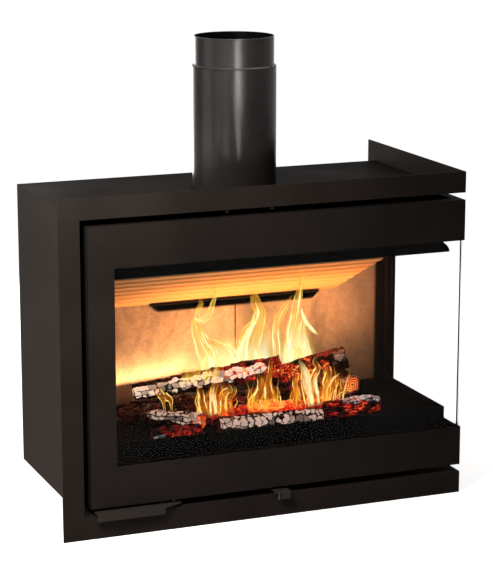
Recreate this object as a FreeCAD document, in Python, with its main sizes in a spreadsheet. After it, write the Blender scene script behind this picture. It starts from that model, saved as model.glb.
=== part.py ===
import FreeCAD, Part
import os
import re
import Sketcher

# Corner wood fireplace insert: a steel casing behind an L-shaped trim frame, a corner door with a front
# pane and a side pane, a lined firebox and a flue pipe. Millimetres; X to the right, Y to the back, Z up.
# The origin is on the floor, in the middle of the overall box.

SIZES = [
    ("frame_width", 1000, "trim frame, overall width of the front"),
    ("frame_height", 788, "trim frame, overall height"),
    ("frame_depth", 535, "trim frame, overall length of the right side"),
    ("frame_sheet", 4, "trim frame, plate thickness"),
    ("flange_width", 50, "trim frame, left stile, top rail and rear stile"),
    ("bottom_flange", 53, "trim frame, bottom rail"),
    ("rear_overhang", 41, "how far the rear stile stands behind the casing"),
    ("casing_sheet", 2, "casing, sheet thickness"),
    ("return_width", 56, "casing, width of the closing sheet behind the hinge"),
    ("door_gap", 17.5, "gap all round the door"),
    ("door_depth", 26, "door, depth of its folded edges"),
    ("door_sheet", 3, "door, sheet thickness"),
    ("top_rail", 97, "door, height of the top rail"),
    ("bottom_rail", 95, "door, height of the bottom rail"),
    ("left_stile", 61.5, "door, width of the left stile"),
    ("rear_stile", 98.5, "door, width of the rear stile on the side"),
    ("glass_thickness", 5, "ceramic glass"),
    ("glass_lap", 15, "glass hidden behind the rails and stiles"),
    ("glass_seat", 0.5, "tape between glass and rails"),
    ("corner_joint", 1.5, "seal between the two panes at the corner"),
    ("bead_recess", 1, "corner bead inside the faces of the side pane"),
    ("retainer_width", 26, "glass retainer strips, width"),
    ("retainer_sheet", 2, "glass retainer strips, thickness"),
    ("screw_diameter", 5, "glass retainer screws"),
    ("screw_head", 9, "glass retainer screws, head diameter"),
    ("screw_head_height", 3, "glass retainer screws, head height"),
    ("seal_depth", 4, "space for the rope seal between door and firebox"),
    ("seal_width", 12, "rope seal, width when pressed"),
    ("seal_margin", 30, "rope seal, distance from the glass opening"),
    ("firebox_plate", 4, "firebox, plate thickness"),
    ("side_air", 25, "air space between casing and firebox on the left"),
    ("roof_drop", 44, "air space between casing top and firebox roof"),
    ("jamb_width", 32, "firebox, left jamb behind the door"),
    ("post_width", 14, "firebox, rear post at the right"),
    ("post_step", 3, "firebox, rear post behind the edge of the rear stile"),
    ("sill_rise", 4.5, "firebox, lower edge of the sill above the door's lower edge"),
    ("lip_rise", 45.5, "hearth lip above the lower edge of the glass opening"),
    ("lip_depth", 21, "hearth plate below the hearth lip"),
    ("header_rise", 14, "firebox, lower edge of the header above the glass opening"),
    ("hearth_thickness", 12, "cast hearth plate"),
    ("slot_width", 12, "grate slots in the hearth plate, width"),
    ("slot_length", 150, "grate slots in the hearth plate, length"),
    ("slot_pitch", 30, "grate slots in the hearth plate, spacing"),
    ("lining_thickness", 30, "fire lining slabs"),
    ("lining_headroom", 60, "top of the back lining below the firebox roof"),
    ("lining_joint", 0.6, "joint between lining slabs"),
    ("seam_shift", 54, "seam of the back lining, right of the middle of the firebox"),
    ("deflector_drop", 30.5, "lower edge of the air deflector below the glass opening"),
    ("deflector_reach", 18, "upright web of the air deflector behind the firebox front"),
    ("deflector_nose", 8, "how far the deflector's rounded nose stands out of the firebox front"),
    ("deflector_lip", 26, "height of the deflector's lip"),
    ("deflector_sheet", 2, "air deflector, sheet thickness"),
    ("baffle_tuck", 23, "front edge of the baffle below the deflector's edge"),
    ("baffle_setback", 80, "front edge of the baffle behind the firebox front"),
    ("baffle_drop", 132, "fall of the baffle from front to rear"),
    ("baffle_thickness", 28, "baffle slab, height of its end"),
    ("baffle_side_gap", 116, "smoke way between the baffle and the rear post"),
    ("rib_depth", 4, "grooves under the baffle"),
    ("nozzle_length", 450, "secondary air nozzle, length along its top"),
    ("nozzle_height", 17, "secondary air nozzle, height"),
    ("nozzle_bevel", 19, "secondary air nozzle, slant of each end"),
    ("nozzle_sheet", 2, "secondary air nozzle, sheet thickness"),
    ("nozzle_reach", 8, "how far the nozzle stands out of the lining"),
    ("duct_width", 260, "secondary air duct"),
    ("duct_depth", 34, "secondary air duct"),
    ("duct_sheet", 2, "secondary air duct, sheet thickness"),
    ("inlet_diameter", 125, "air inlet spigot, outside diameter"),
    ("inlet_length", 38, "air inlet spigot, length behind the casing"),
    ("inlet_height", 190, "air inlet spigot, height of its axis"),
    ("inlet_wall", 2, "air inlet spigot, wall and flange thickness"),
    ("inlet_flange_diameter", 150, "air inlet spigot, flange on the casing"),
    ("upper_depth", 170, "upper smoke deflector, depth from the back wall"),
    ("upper_drop", 44, "upper smoke deflector below the roof"),
    ("upper_side_gap", 60, "upper smoke deflector, gap at its right end"),
    ("flue_diameter", 200, "flue pipe, outside diameter"),
    ("flue_wall", 2, "flue pipe, wall"),
    ("spigot_diameter", 189, "flue pipe, outside diameter of its reduced end"),
    ("spigot_length", 67, "flue pipe, length of its reduced end"),
    ("shoulder_height", 6, "flue pipe, height of the rounded shoulder"),
    ("flue_height", 362, "flue pipe above the top of the trim opening"),
    ("flue_offset", 20, "flue pipe, right of the middle"),
    ("flue_setback", 156, "flue pipe axis in front of the firebox back wall"),
    ("collar_diameter", 246, "flue collar flange"),
    ("collar_height", 60, "flue collar, height of its tube"),
    ("collar_sheet", 4, "flue collar, thickness of flange and tube"),
    ("bolt_diameter", 6, "flue collar bolts"),
    ("bolt_head", 10, "flue collar bolts, head diameter"),
    ("bolt_head_height", 4, "flue collar bolts, head height"),
    ("foot_diameter", 44, "levelling feet, pad diameter"),
    ("foot_pad", 8, "levelling feet, pad height"),
    ("foot_bolt", 12, "levelling feet, bolt diameter"),
    ("foot_side_inset", 90, "levelling feet, inset from the casing sides"),
    ("foot_front_inset", 72, "levelling feet, inset from the casing front"),
    ("foot_rear_inset", 32, "levelling feet, inset from the casing back"),
    ("nut_size", 19, "levelling feet, width of the nut across its corners"),
    ("nut_height", 10, "levelling feet, nut height"),
    ("hinge_inset", 14, "door hinge axis, inside the right face"),
    ("hinge_setback", 17.5, "door hinge axis, in front of the door's rear edge"),
    ("pin_diameter", 12, "hinge pins and handle spindle"),
    ("pin_grip", 19, "hinge pins, length inside the door"),
    ("pin_head", 20, "hinge pins, head diameter"),
    ("pin_head_height", 3, "hinge pins, head height"),
    ("bush_diameter", 17, "hinge bushes"),
    ("bush_length", 22, "hinge and handle bushes"),
    ("bracket_sheet", 6, "hinge brackets, thickness"),
    ("bracket_width", 30, "hinge brackets, width"),
    ("bracket_gap", 4, "hinge brackets, distance from the door"),
    ("column_width", 24, "hinge column"),
    ("column_depth", 36, "hinge column"),
    ("swing_clear", 4, "room round the door's rear edge as it swings"),
    ("handle_reach", 20, "how far the handle stands in front of the trim frame"),
    ("handle_start", 7.5, "left end of the handle from the door's left edge"),
    ("grip_length", 162, "handle, length of its grip lip"),
    ("grip_height", 14, "handle, height of its grip lip below the plate"),
    ("handle_sheet", 4, "handle, plate thickness"),
    ("handle_pivot", 200, "handle spindle from the door's left edge"),
    ("pivot_setback", 13, "handle spindle behind the front plane"),
    ("nose_radius", 19, "handle, round nose about its spindle"),
    ("handle_back", 8, "handle, rear edge of its plate behind the front plane"),
    ("handle_bush_diameter", 18, "handle bush"),
    ("keeper_gap", 2, "catch roller behind the handle's nose"),
    ("roller_diameter", 10, "catch roller"),
    ("keeper_sheet", 3, "catch keeper, thickness"),
    ("keeper_width", 40, "catch keeper, width"),
    ("control_offset", 30, "air control, right of the middle"),
    ("arm_width", 37, "air control arm, width"),
    ("arm_sheet", 4, "air control arm, thickness"),
    ("arm_reach", 19, "how far the air control stands in front of the trim frame"),
    ("knob_width", 22, "air control knob, width"),
    ("knob_depth", 12, "air control knob, depth"),
    ("knob_height", 15, "air control knob, height"),
    ("stud_diameter", 5, "air control stud beside the knob"),
    ("slide_width", 220, "air slide plate, width"),
    ("slide_height", 60, "air slide plate, height"),
    ("slide_sheet", 3, "air slide plate, thickness"),
    ("slide_travel", 30, "air slide, travel to each side"),
    ("guide_depth", 8, "air slide guides, depth"),
    ("guide_height", 8, "air slide guides, height"),
    ("port_width", 24, "air ports, width"),
    ("port_height", 30, "air ports, height"),
    ("air_box_setback", 26, "air box behind the firebox sill"),
    ("air_box_width", 320, "air box, width"),
    ("air_box_depth", 250, "air box, depth"),
    ("air_box_sheet", 2, "air box, sheet thickness"),
    ("run_clear", 0.3, "clearance of sliding and facing pieces"),
    ("fit_clear", 0.05, "radial clearance of pins in their bores"),
    ("hole_clear", 0.5, "radial clearance of bolts in their holes"),
    ("pass_clear", 3, "radial clearance of pipes in the casing"),
]

# The fire is laid to suit the hearth, so these are shares of the hearth's depth. Each log has its length and
# width, its middle to the right of the middle of the firebox, in front of the back lining and above the
# hearth, and then its turn and its tilt in degrees.
LOGS = {
    "log_round": (0.3329, 0.1332, 0.8109, 0.297, 0.1121, -82.5, 0),
    "log_left": (0.3773, 0.1054, -0.5035, 0.6047, 0.0533, -36.2, 0),
    "log_front": (0.7102, 0.111, 0.0513, 0.8821, 0.056, -3.5, 0),
    "log_top": (1.0153, 0.1553, -0.1678, 0.2829, 0.2061, -17.6, 9.5),
    "log_right": (0.6075, 0.1553, 0.5493, 0.276, 0.2039, -14, 15),
}
CHUNKS = {
    "chunk_left": (0.3273, 0.1054, -0.6172, 0.9182, 0.0533, -4, 0),
    "chunk_right": (0.405, 0.1165, 0.6783, 0.7767, 0.0588, 5.5, 0),
    "chunk_middle": (0.4161, 0.1332, 0.3398, 0.4688, 0.1121, 2, 0),
}
EMBERS = {"width": 1.5535, "depth": 0.6103, "height": 0.0444, "right": -0.0832, "ahead": 0.0832}

# Section of a split log and plan of the ember heap, as shares of their own width and depth.
LOG_SECTION = [(-0.32, -0.5), (0.3, -0.5), (0.5, -0.22), (0.5, 0.18),
               (0.26, 0.5), (-0.2, 0.5), (-0.5, 0.24), (-0.5, -0.2)]
EMBER_PLAN = [(-0.5, 0.45), (-0.36, 0.55), (-0.14, 0.93), (-0.13, 1), (0.35, 0.95), (0.6, 0.66),
              (0.64, 0.3), (0.5, 0), (-0.42, 0)]

# One rib of the baffle: shares of its pitch, and whether the groove is cut there.
RIB_STEPS = [(0, 0), (0.55, 0), (0.65, 1), (0.9, 1)]

# Planes and lines of the insert, worked out from the sizes above.
PLACES = {
    "front": "-(frame_depth - handle_reach) / 2",
    "rear": "front + frame_depth",
    "left": "-frame_width / 2",
    "right": "frame_width / 2",
    "opening_left": "left + flange_width",
    "opening_bottom": "bottom_flange",
    "opening_top": "frame_height - flange_width",
    "opening_rear": "rear - flange_width",
    "casing_front": "front + frame_sheet",
    "casing_back": "rear - rear_overhang",
    "casing_right": "right - frame_sheet",
    "casing_bottom": "opening_bottom - casing_sheet",
    "door_left": "opening_left + door_gap",
    "door_bottom": "opening_bottom + door_gap",
    "door_top": "opening_top - door_gap",
    "door_rear": "opening_rear - door_gap",
    "door_inside": "front + door_depth",
    "door_side": "right - door_depth",
    "window_left": "door_left + left_stile",
    "window_bottom": "door_bottom + bottom_rail",
    "window_top": "door_top - top_rail",
    "window_rear": "door_rear - rear_stile",
    "glass_front": "front + door_sheet + glass_seat",
    "glass_back": "glass_front + glass_thickness",
    "glass_outside": "right - door_sheet - glass_seat",
    "glass_inside": "glass_outside - glass_thickness",
    "glass_bottom": "window_bottom - glass_lap",
    "glass_top": "window_top + glass_lap",
    "hinge_x": "right - hinge_inset",
    "hinge_y": "door_rear - hinge_setback",
    "swing": "sqrt((door_depth - hinge_inset)^2 + hinge_setback^2)",
    "box_front": "door_inside + seal_depth",
    "box_right": "door_side - seal_depth",
    "box_left": "opening_left + side_air",
    "box_back": "hinge_y - swing - run_clear",
    "box_top": "opening_top - roof_drop",
    "room_front": "box_front + firebox_plate",
    "room_right": "box_right - firebox_plate",
    "room_left": "box_left + firebox_plate",
    "room_back": "box_back - firebox_plate",
    "roof_under": "box_top - firebox_plate",
    "lining_face": "room_back - lining_thickness",
    "lining_top": "roof_under - lining_headroom",
    "post_left": "box_right - post_width",
    "post_front": "window_rear + post_step",
    "room_middle": "(room_left + post_left) / 2",
    "seam": "room_middle + seam_shift",
    "sill_bottom": "door_bottom + sill_rise",
    "lip_top": "window_bottom + lip_rise",
    "hearth_top": "lip_top - lip_depth",
    "floor_top": "hearth_top - hearth_thickness",
    "floor_under": "floor_top - firebox_plate",
    "header_bottom": "window_top + header_rise",
    "deflector_edge": "window_top - deflector_drop",
    "baffle_front": "box_front + baffle_setback",
    "baffle_back": "lining_face - run_clear",
    "baffle_high": "deflector_edge - baffle_tuck",
    "baffle_low": "baffle_high - baffle_drop",
    "baffle_right": "post_left - baffle_side_gap",
    "nozzle_top": "baffle_low - run_clear",
    "nozzle_bottom": "nozzle_top - nozzle_height",
    "nozzle_front": "lining_face - nozzle_reach",
    "duct_back": "box_back + duct_depth",
    "duct_top": "nozzle_top + lining_thickness",
    "flue_y": "room_back - flue_setback",
    "flue_top": "opening_top + flue_height",
    "shoulder_top": "flue_top - spigot_length",
    "collar_top": "box_top + collar_sheet",
    "gap_middle": "(opening_bottom + door_bottom) / 2",
    "pivot_x": "door_left + handle_pivot",
    "pivot_y": "front + pivot_setback",
    "grip_left": "door_left + handle_start",
    "grip_right": "grip_left + grip_length",
    "grip_front": "front - handle_reach",
    "handle_top": "gap_middle + handle_sheet / 2",
    "handle_under": "gap_middle - handle_sheet / 2",
    "roller_y": "pivot_y + nose_radius + keeper_gap + roller_diameter / 2",
    "arm_top": "gap_middle + arm_sheet / 2",
    "arm_under": "gap_middle - arm_sheet / 2",
    "arm_left": "control_offset - arm_width / 2",
    "arm_right": "control_offset + arm_width / 2",
    "arm_front": "front - arm_reach",
    "knob_bottom": "arm_under - knob_height",
    "air_front": "room_front + air_box_setback",
    "slide_back": "air_front - run_clear",
    "slide_front": "slide_back - slide_sheet",
    "slide_top": "arm_under + slide_height",
    "port_bottom": "arm_top + guide_height",
    "seal_left": "window_left - seal_margin - seal_width",
    "seal_bottom": "window_bottom - seal_margin + seal_width / 2",
    "seal_top": "window_top + seal_margin - seal_width / 2",
    "seal_rear": "window_rear + seal_margin",
    "collar_outside": "flue_diameter - 2 * flue_wall - 2 * run_clear",
    "collar_bore": "collar_outside - 2 * collar_sheet",
    "hearth_run": "lining_face - room_front",
}

# How many of each the insert has.
slot_count = 9
port_count = 3
bolt_count = 6
screw_count = 5
rib_count = 7
bend_steps = 6

doc = FreeCAD.newDocument("corner_insert")
sheet = doc.addObject("Spreadsheet::Sheet", "Size")
for row, (alias, number, meaning) in enumerate(SIZES, start=1):
    sheet.set(f"A{row}", alias)
    sheet.set(f"B{row}", str(number))
    sheet.set(f"C{row}", meaning)
    sheet.setAlias(f"B{row}", alias)
doc.recompute()

ALIASES = {alias for alias, number, meaning in SIZES}
WORD = re.compile(r"[a-z][a-z_0-9]*")
nodes = []


def expand(text):
    """Turn names of sizes and places into an expression on the sheet's cells."""
    def swap(match):
        word = match.group(0)
        if word in ALIASES:
            return f"Size.{word}"
        if word in PLACES:
            return f"({expand(PLACES[word])})"
        return word
    return WORD.sub(swap, str(text))


def value(text):
    return float(sheet.evalExpression(expand(text)))


def bind(thing, path, text):
    thing.setExpression(path, expand(text))


def place(thing, x, y, z):
    for axis, text in zip("xyz", (x, y, z)):
        bind(thing, f".Placement.Base.{axis}", text)


def node(thing, label):
    """Name a finished sub-part; its label names its file."""
    thing.Label = label
    nodes.append(thing)
    return thing


def box(name, x, y, z):
    """A plate or bar between pairs of planes."""
    solid = doc.addObject("Part::Box", name)
    for side, (low, high) in zip(("Length", "Width", "Height"), (x, y, z)):
        bind(solid, side, f"({high}) - ({low})")
    place(solid, x[0], y[0], z[0])
    return solid


def rod(name, x, y, z, diameter):
    """An upright cylinder at (x, y) between two heights."""
    solid = doc.addObject("Part::Cylinder", name)
    bind(solid, "Radius", f"({diameter}) / 2")
    bind(solid, "Height", f"({z[1]}) - ({z[0]})")
    place(solid, x, y, z[0])
    return solid


def rod_back(name, x, y, z, diameter):
    """A level cylinder along Y at (x, z) between two depths."""
    solid = doc.addObject("Part::Cylinder", name)
    bind(solid, "Radius", f"({diameter}) / 2")
    bind(solid, "Height", f"({y[1]}) - ({y[0]})")
    solid.Placement.Rotation = FreeCAD.Rotation(FreeCAD.Vector(1, 0, 0), -90)
    place(solid, x, y[0], z)
    return solid


def fuse(name, *solids):
    joined = doc.addObject("Part::MultiFuse", name)
    joined.Shapes = list(solids)
    return joined


def group(name, solids):
    """Separate solids that share one file."""
    held = doc.addObject("Part::Compound", name)
    held.Links = list(solids)
    return held


def cut(name, base, *tools):
    left_over = doc.addObject("Part::Cut", name)
    left_over.Base = base
    left_over.Tool = tools[0] if len(tools) == 1 else fuse(f"{name}_tools", *tools)
    return left_over


def outline(sketch, points):
    """A closed outline whose corners are held by distances bound to the sheet."""
    first = sketch.GeometryCount
    corners = [FreeCAD.Vector(value(across), value(up), 0) for across, up in points]
    count = len(corners)
    for index, corner in enumerate(corners):
        sketch.addGeometry(Part.LineSegment(corner, corners[(index + 1) % count]))
    for index in range(count):
        follower = first + (index + 1) % count
        sketch.addConstraint(Sketcher.Constraint("Coincident", first + index, 2, follower, 1))
    for index, (across, up) in enumerate(points):
        for kind, text in (("DistanceX", across), ("DistanceY", up)):
            held = Sketcher.Constraint(kind, -1, 1, first + index, 1, value(text))
            number = sketch.addConstraint(held)
            bind(sketch, f"Constraints[{number}]", text)


def sketch_on(body, plane, name):
    sketch = body.newObject("Sketcher::SketchObject", name)
    support = [part for part in body.Origin.OriginFeatures if part.Role == plane][0]
    sketch.AttachmentSupport = [(support, "")]
    sketch.MapMode = "FlatFace"
    return sketch


def padded(name, plane, loops, low, high):
    """A body padded between two planes; the XZ plane looks to the front, so it starts at the back."""
    body = doc.addObject("PartDesign::Body", name)
    sketch = sketch_on(body, plane, f"{name}_sketch")
    for points in loops:
        outline(sketch, points)
    start = f"-({high})" if plane == "XZ_Plane" else low
    bind(sketch, ".AttachmentOffset.Base.z", start)
    pad = body.newObject("PartDesign::Pad", f"{name}_pad")
    pad.Profile = sketch
    bind(pad, "Length", f"({high}) - ({low})")
    return body


def turned(name, x, y, profile):
    """A body turned about an upright axis at (x, y) from a profile of radius and height."""
    body = doc.addObject("PartDesign::Body", name)
    sketch = sketch_on(body, "XZ_Plane", f"{name}_sketch")
    outline(sketch, profile)
    turn = body.newObject("PartDesign::Revolution", f"{name}_turn")
    turn.Profile = sketch
    turn.ReferenceAxis = (sketch, ["V_Axis"])
    turn.Angle = 360
    bind(body, ".Placement.Base.x", x)
    bind(body, ".Placement.Base.y", y)
    return body


def corner_plan(left, front, right, rear, thick):
    """Plan of a band that runs along the front and turns back along the right side."""
    inner = f"{right} - ({thick})"
    return [(left, front), (right, front), (right, rear), (inner, rear),
            (inner, f"{front} + {thick}"), (left, f"{front} + {thick}")]


def corner_band(name, left, front, right, rear, thick, z):
    return padded(name, "XY_Plane", [corner_plan(left, front, right, rear, thick)], *z)


def window(name, left, rear, z):
    """What the opening of a corner frame takes away: the front, the side and the corner between them."""
    spare = "frame_sheet"
    return box(name, (left, f"right + {spare}"), (f"front - {spare}", rear), z)


def make_trim():
    band = corner_band("trim_band", "left", "front", "right", "rear", "frame_sheet", ("0", "frame_height"))
    hole = window("trim_opening", "opening_left", "opening_rear", ("opening_bottom", "opening_top"))
    node(cut("trim_frame", band, hole), "trim_frame")


def make_casing():
    depth = ("casing_front", "casing_back")
    width = ("opening_left", "casing_right")
    node(box("casing_left", ("opening_left - casing_sheet", "opening_left"), depth,
             ("casing_bottom", "opening_top + casing_sheet")), "casing_left_panel")

    top = box("casing_top", width, depth, ("opening_top", "opening_top + casing_sheet"))
    pipe_hole = rod("casing_pipe_hole", "flue_offset", "flue_y",
                    ("opening_top - casing_sheet", "opening_top + 2 * casing_sheet"),
                    "flue_diameter + 2 * pass_clear")
    node(cut("casing_top_cut", top, pipe_hole), "casing_top_panel")

    back = box("casing_back", width, ("casing_back - casing_sheet", "casing_back"),
               ("opening_bottom", "opening_top"))
    air_hole = rod_back("casing_air_hole", "seam", ("casing_back - 2 * casing_sheet",
                        "casing_back + casing_sheet"), "inlet_height", "inlet_diameter")
    node(cut("casing_back_cut", back, air_hole), "casing_back_panel")

    base = box("casing_base", width, depth, ("casing_bottom", "opening_bottom"))
    holes = [rod(f"casing_foot_hole_{number}", x, y, ("casing_bottom - casing_sheet",
                 "opening_bottom + casing_sheet"), "foot_bolt + 2 * hole_clear")
             for number, (x, y) in enumerate(foot_places())]
    node(cut("casing_base_cut", base, *holes), "casing_base_panel")

    # The sheet that closes the casing behind the hinge, folded back along the trim frame.
    fold = "casing_right - casing_sheet"
    face = "opening_rear - casing_sheet"
    node(padded("casing_return", "XY_Plane", [[
        ("casing_right - return_width", face), ("casing_right", face),
        ("casing_right", "casing_back - casing_sheet"), (fold, "casing_back - casing_sheet"),
        (fold, "opening_rear"), ("casing_right - return_width", "opening_rear")]],
        "opening_bottom", "opening_top"), "casing_right_return")


def foot_places():
    sides = ("opening_left + foot_side_inset", "casing_right - foot_side_inset")
    depths = ("casing_front + foot_front_inset", "casing_back - foot_rear_inset")
    return [(x, y) for x in sides for y in depths]


def make_feet():
    feet = []
    nuts = []
    top = "opening_bottom + nut_height"
    for number, (x, y) in enumerate(foot_places()):
        feet.append(turned(f"foot_{number}", x, y, [
            ("0", "0"), ("foot_diameter / 2", "0"), ("foot_diameter / 2", "foot_pad / 2"),
            ("foot_bolt / 2 + foot_pad / 2", "foot_pad"), ("foot_bolt / 2", "foot_pad"),
            ("foot_bolt / 2", f"{top}"), ("0", f"{top}")]))
        blank = doc.addObject("Part::Prism", f"foot_nut_blank_{number}")
        blank.Polygon = 6
        bind(blank, "Circumradius", "nut_size / 2")
        bind(blank, "Height", "nut_height")
        place(blank, x, y, "opening_bottom")
        bore = rod(f"foot_nut_bore_{number}", x, y, ("opening_bottom - nut_height", f"{top} + nut_height"),
                   "foot_bolt + 2 * fit_clear")
        nuts.append(cut(f"foot_nut_{number}", blank, bore))
    node(group("feet", feet), "levelling_feet")
    node(group("nuts", nuts), "foot_nuts")


def make_firebox():
    depth = ("room_front", "room_back")
    node(box("box_left_wall", ("box_left", "room_left"), depth, ("opening_bottom", "box_top")),
         "firebox_left_wall")

    back = box("box_back_wall", ("box_left", "box_right"), ("room_back", "box_back"),
               ("opening_bottom", "box_top"))
    feed = padded("back_feed", "XZ_Plane", [nozzle_outline("nozzle_sheet")],
                  "room_back - firebox_plate", "box_back + firebox_plate")
    node(cut("box_back_cut", back, feed), "firebox_back_wall")

    node(box("box_post", ("post_left", "box_right"), ("post_front", "room_back"),
             ("opening_bottom", "box_top")), "firebox_rear_post")

    roof = padded("roof_plate", "XY_Plane", [room_plan()], "roof_under", "box_top")
    smoke_hole = rod("roof_hole", "flue_offset", "flue_y", ("roof_under - firebox_plate",
                     "box_top + firebox_plate"), "collar_bore")
    node(cut("roof_cut", roof, smoke_hole, *bolt_holes("roof", "roof_under", "box_top")), "firebox_roof")

    floor = padded("floor_plate", "XY_Plane", [room_plan()], "floor_under", "floor_top")
    ash_hole = box("floor_hole", grate_width(), grate_depth(), ("floor_under - firebox_plate",
                   "floor_top + firebox_plate"))
    node(cut("floor_cut", floor, ash_hole), "firebox_floor")

    node(box("box_jamb", ("box_left", "box_left + jamb_width"), ("box_front", "room_front"),
             ("sill_bottom", "box_top")), "firebox_left_jamb")
    for label, z in (("firebox_sill", ("sill_bottom", "lip_top")),
                     ("firebox_header", ("header_bottom", "box_top"))):
        node(corner_band(f"{label}_band", "box_left + jamb_width", "box_front", "box_right", "post_front",
                         "firebox_plate", z), label)


def room_plan():
    """Plan of the firebox inside its walls, stepped round the rear post."""
    return [("room_left", "room_front"), ("room_right", "room_front"), ("room_right", "post_front"),
            ("post_left", "post_front"), ("post_left", "room_back"), ("room_left", "room_back")]


def grate_width():
    half = f"({slot_count} * slot_pitch) / 2"
    return (f"control_offset - {half}", f"control_offset + {half}")


def grate_depth():
    middle = "(room_front + lining_face) / 2"
    return (f"{middle} - slot_length / 2", f"{middle} + slot_length / 2")


def make_hearth():
    plate = padded("hearth_blank", "XY_Plane", [room_plan()], "floor_top", "hearth_top")
    slots = []
    start, _ = grate_width()
    for number in range(slot_count):
        middle = f"{start} + slot_pitch * {number + 0.5}"
        slots.append(box(f"grate_slot_{number}", (f"{middle} - slot_width / 2", f"{middle} + slot_width / 2"),
                         grate_depth(), ("floor_top - hearth_thickness", "hearth_top + hearth_thickness")))
    node(cut("hearth_cut", plate, *slots), "hearth_plate")


def make_air_box():
    width = ("control_offset - air_box_width / 2", "control_offset + air_box_width / 2")
    depth = ("air_front", "air_front + air_box_depth")
    shell = box("air_shell", width, depth, ("opening_bottom", "floor_under"))
    inside = box("air_inside", (f"{width[0]} + air_box_sheet", f"{width[1]} - air_box_sheet"),
                 (f"{depth[0]} + air_box_sheet", f"{depth[1]} - air_box_sheet"),
                 ("opening_bottom + air_box_sheet", "floor_under + air_box_sheet"))
    ports = air_ports("air_box_port", "air_front - air_box_sheet", "air_front + 2 * air_box_sheet")
    node(cut("air_box_cut", shell, inside, *ports), "air_box")

    # The slide runs between a sill on the base and a hooked guide above it.
    low = box("guide_low", width, ("air_front - guide_depth", "air_front"),
              ("opening_bottom", "arm_under - run_clear"))
    hook = "slide_front - run_clear"
    high = padded("guide_high", "YZ_Plane", [[
        ("air_front - guide_depth", "slide_top - guide_height / 2"), (hook, "slide_top - guide_height / 2"),
        (hook, "slide_top + run_clear"), ("air_front", "slide_top + run_clear"),
        ("air_front", "slide_top + guide_height"),
        ("air_front - guide_depth", "slide_top + guide_height")]], *width)
    node(group("guides", [low, high]), "slide_guides")


def air_ports(name, low, high):
    """Openings that the slide covers or uncovers, one travel and one width apart."""
    ports = []
    for number in range(port_count):
        middle = f"control_offset + ({number - (port_count - 1) / 2}) * (port_width + slide_travel)"
        ports.append(box(f"{name}_{number}", (f"{middle} - port_width / 2", f"{middle} + port_width / 2"),
                         (low, high), ("port_bottom", "port_bottom + port_height")))
    return ports


def make_air_control():
    plate = box("slide_blank", ("control_offset - slide_width / 2", "control_offset + slide_width / 2"),
                ("slide_front", "slide_back"), ("arm_under", "slide_top"))
    ports = air_ports("slide_port", "slide_front - slide_sheet", "slide_back + slide_sheet")
    node(cut("slide_cut", plate, *ports), "air_slide_plate")
    node(box("slide_arm", ("arm_left", "arm_right"), ("arm_front", "slide_front"), ("arm_under", "arm_top")),
         "air_slide_arm")
    knob = box("knob_blank", ("arm_right - knob_width", "arm_right"), ("arm_front", "arm_front + knob_depth"),
               ("knob_bottom", "arm_under"))
    node(knob, "air_knob")
    node(rod("stud", "arm_left + 2 * stud_diameter", "arm_front + knob_depth / 2",
             ("knob_bottom", "arm_under"), "stud_diameter"), "knob_stud")


def make_deflector():
    # Profile of the sheet: an upright web, then a rounded nose that comes out to the glass and turns down.
    body = doc.addObject("PartDesign::Body", "deflector")
    path = sketch_on(body, "XY_Plane", "deflector_path")
    lip = "room_front"
    side = "room_right"
    corners = [("box_left + jamb_width + run_clear", lip), (side, lip), (side, "post_front")]
    points = [FreeCAD.Vector(value(x), value(y), 0) for x, y in corners]
    path.addGeometry(Part.LineSegment(points[0], points[1]))
    path.addGeometry(Part.LineSegment(points[1], points[2]))
    path.addConstraint(Sketcher.Constraint("Coincident", 0, 2, 1, 1))
    for index, place_on in ((0, 1), (0, 2), (1, 2)):
        x, y = corners[index + place_on - 1]
        for kind, text in (("DistanceX", x), ("DistanceY", y)):
            number = path.addConstraint(Sketcher.Constraint(kind, -1, 1, index, place_on, value(text)))
            bind(path, f"Constraints[{number}]", text)
    bind(path, ".AttachmentOffset.Base.z", "deflector_edge")

    section = sketch_on(body, "YZ_Plane", "deflector_section")
    outline(section, deflector_section())
    bind(section, ".AttachmentOffset.Base.z", corners[0][0])
    pipe = body.newObject("PartDesign::AdditivePipe", "deflector_sweep")
    pipe.Profile = section
    pipe.Spine = (path, ["Edge1", "Edge2"])
    pipe.Transition = "Right corner"
    node(body, "air_wash_deflector")


def deflector_section():
    """The web comes down, the nose goes round a quarter of an ellipse, and the inside follows it back."""
    web = "room_front + deflector_reach"
    reach = "(deflector_reach + deflector_nose)"
    outer = []
    inner = []
    for step in range(bend_steps + 1):
        turn = 90 * step / bend_steps
        outer.append((f"{web} - {reach} * sin({turn})", f"deflector_edge + deflector_lip * cos({turn})"))
        inner.append((f"{web} - ({reach} - deflector_sheet) * sin({turn})",
                      f"deflector_edge + (deflector_lip - deflector_sheet) * cos({turn})"))
    back = f"{web} + deflector_sheet"
    return ([(web, "roof_under")] + outer + inner[::-1]
            + [(back, "deflector_edge + deflector_lip - deflector_sheet"), (back, "roof_under")])


def make_lining():
    back = ("lining_face", "room_back")
    joint = "lining_joint / 2"
    hole = [nozzle_outline("0 - run_clear")]
    for label, x in (("lining_back_left", ("room_left", f"seam - {joint}")),
                     ("lining_back_right", (f"seam + {joint}", "post_left"))):
        slab = box(f"{label}_slab", x, back, ("hearth_top", "lining_top"))
        slot = padded(f"{label}_slot", "XZ_Plane", hole, "lining_face - nozzle_reach",
                      "room_back + nozzle_reach")
        node(cut(f"{label}_cut", slab, slot), label)

    # The left slab stops under the slope of the baffle, which rests on it.
    start = "room_front + deflector_reach + deflector_sheet + lining_joint"
    end = "lining_face - lining_joint"
    node(padded("lining_left_slab", "YZ_Plane", [[
        (start, "hearth_top"), (end, "hearth_top"), (end, f"{baffle_under(end)} - run_clear"),
        ("baffle_front", "baffle_high - run_clear"), (start, "baffle_high - run_clear")]],
        "room_left", "room_left + lining_thickness"), "lining_left")


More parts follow.
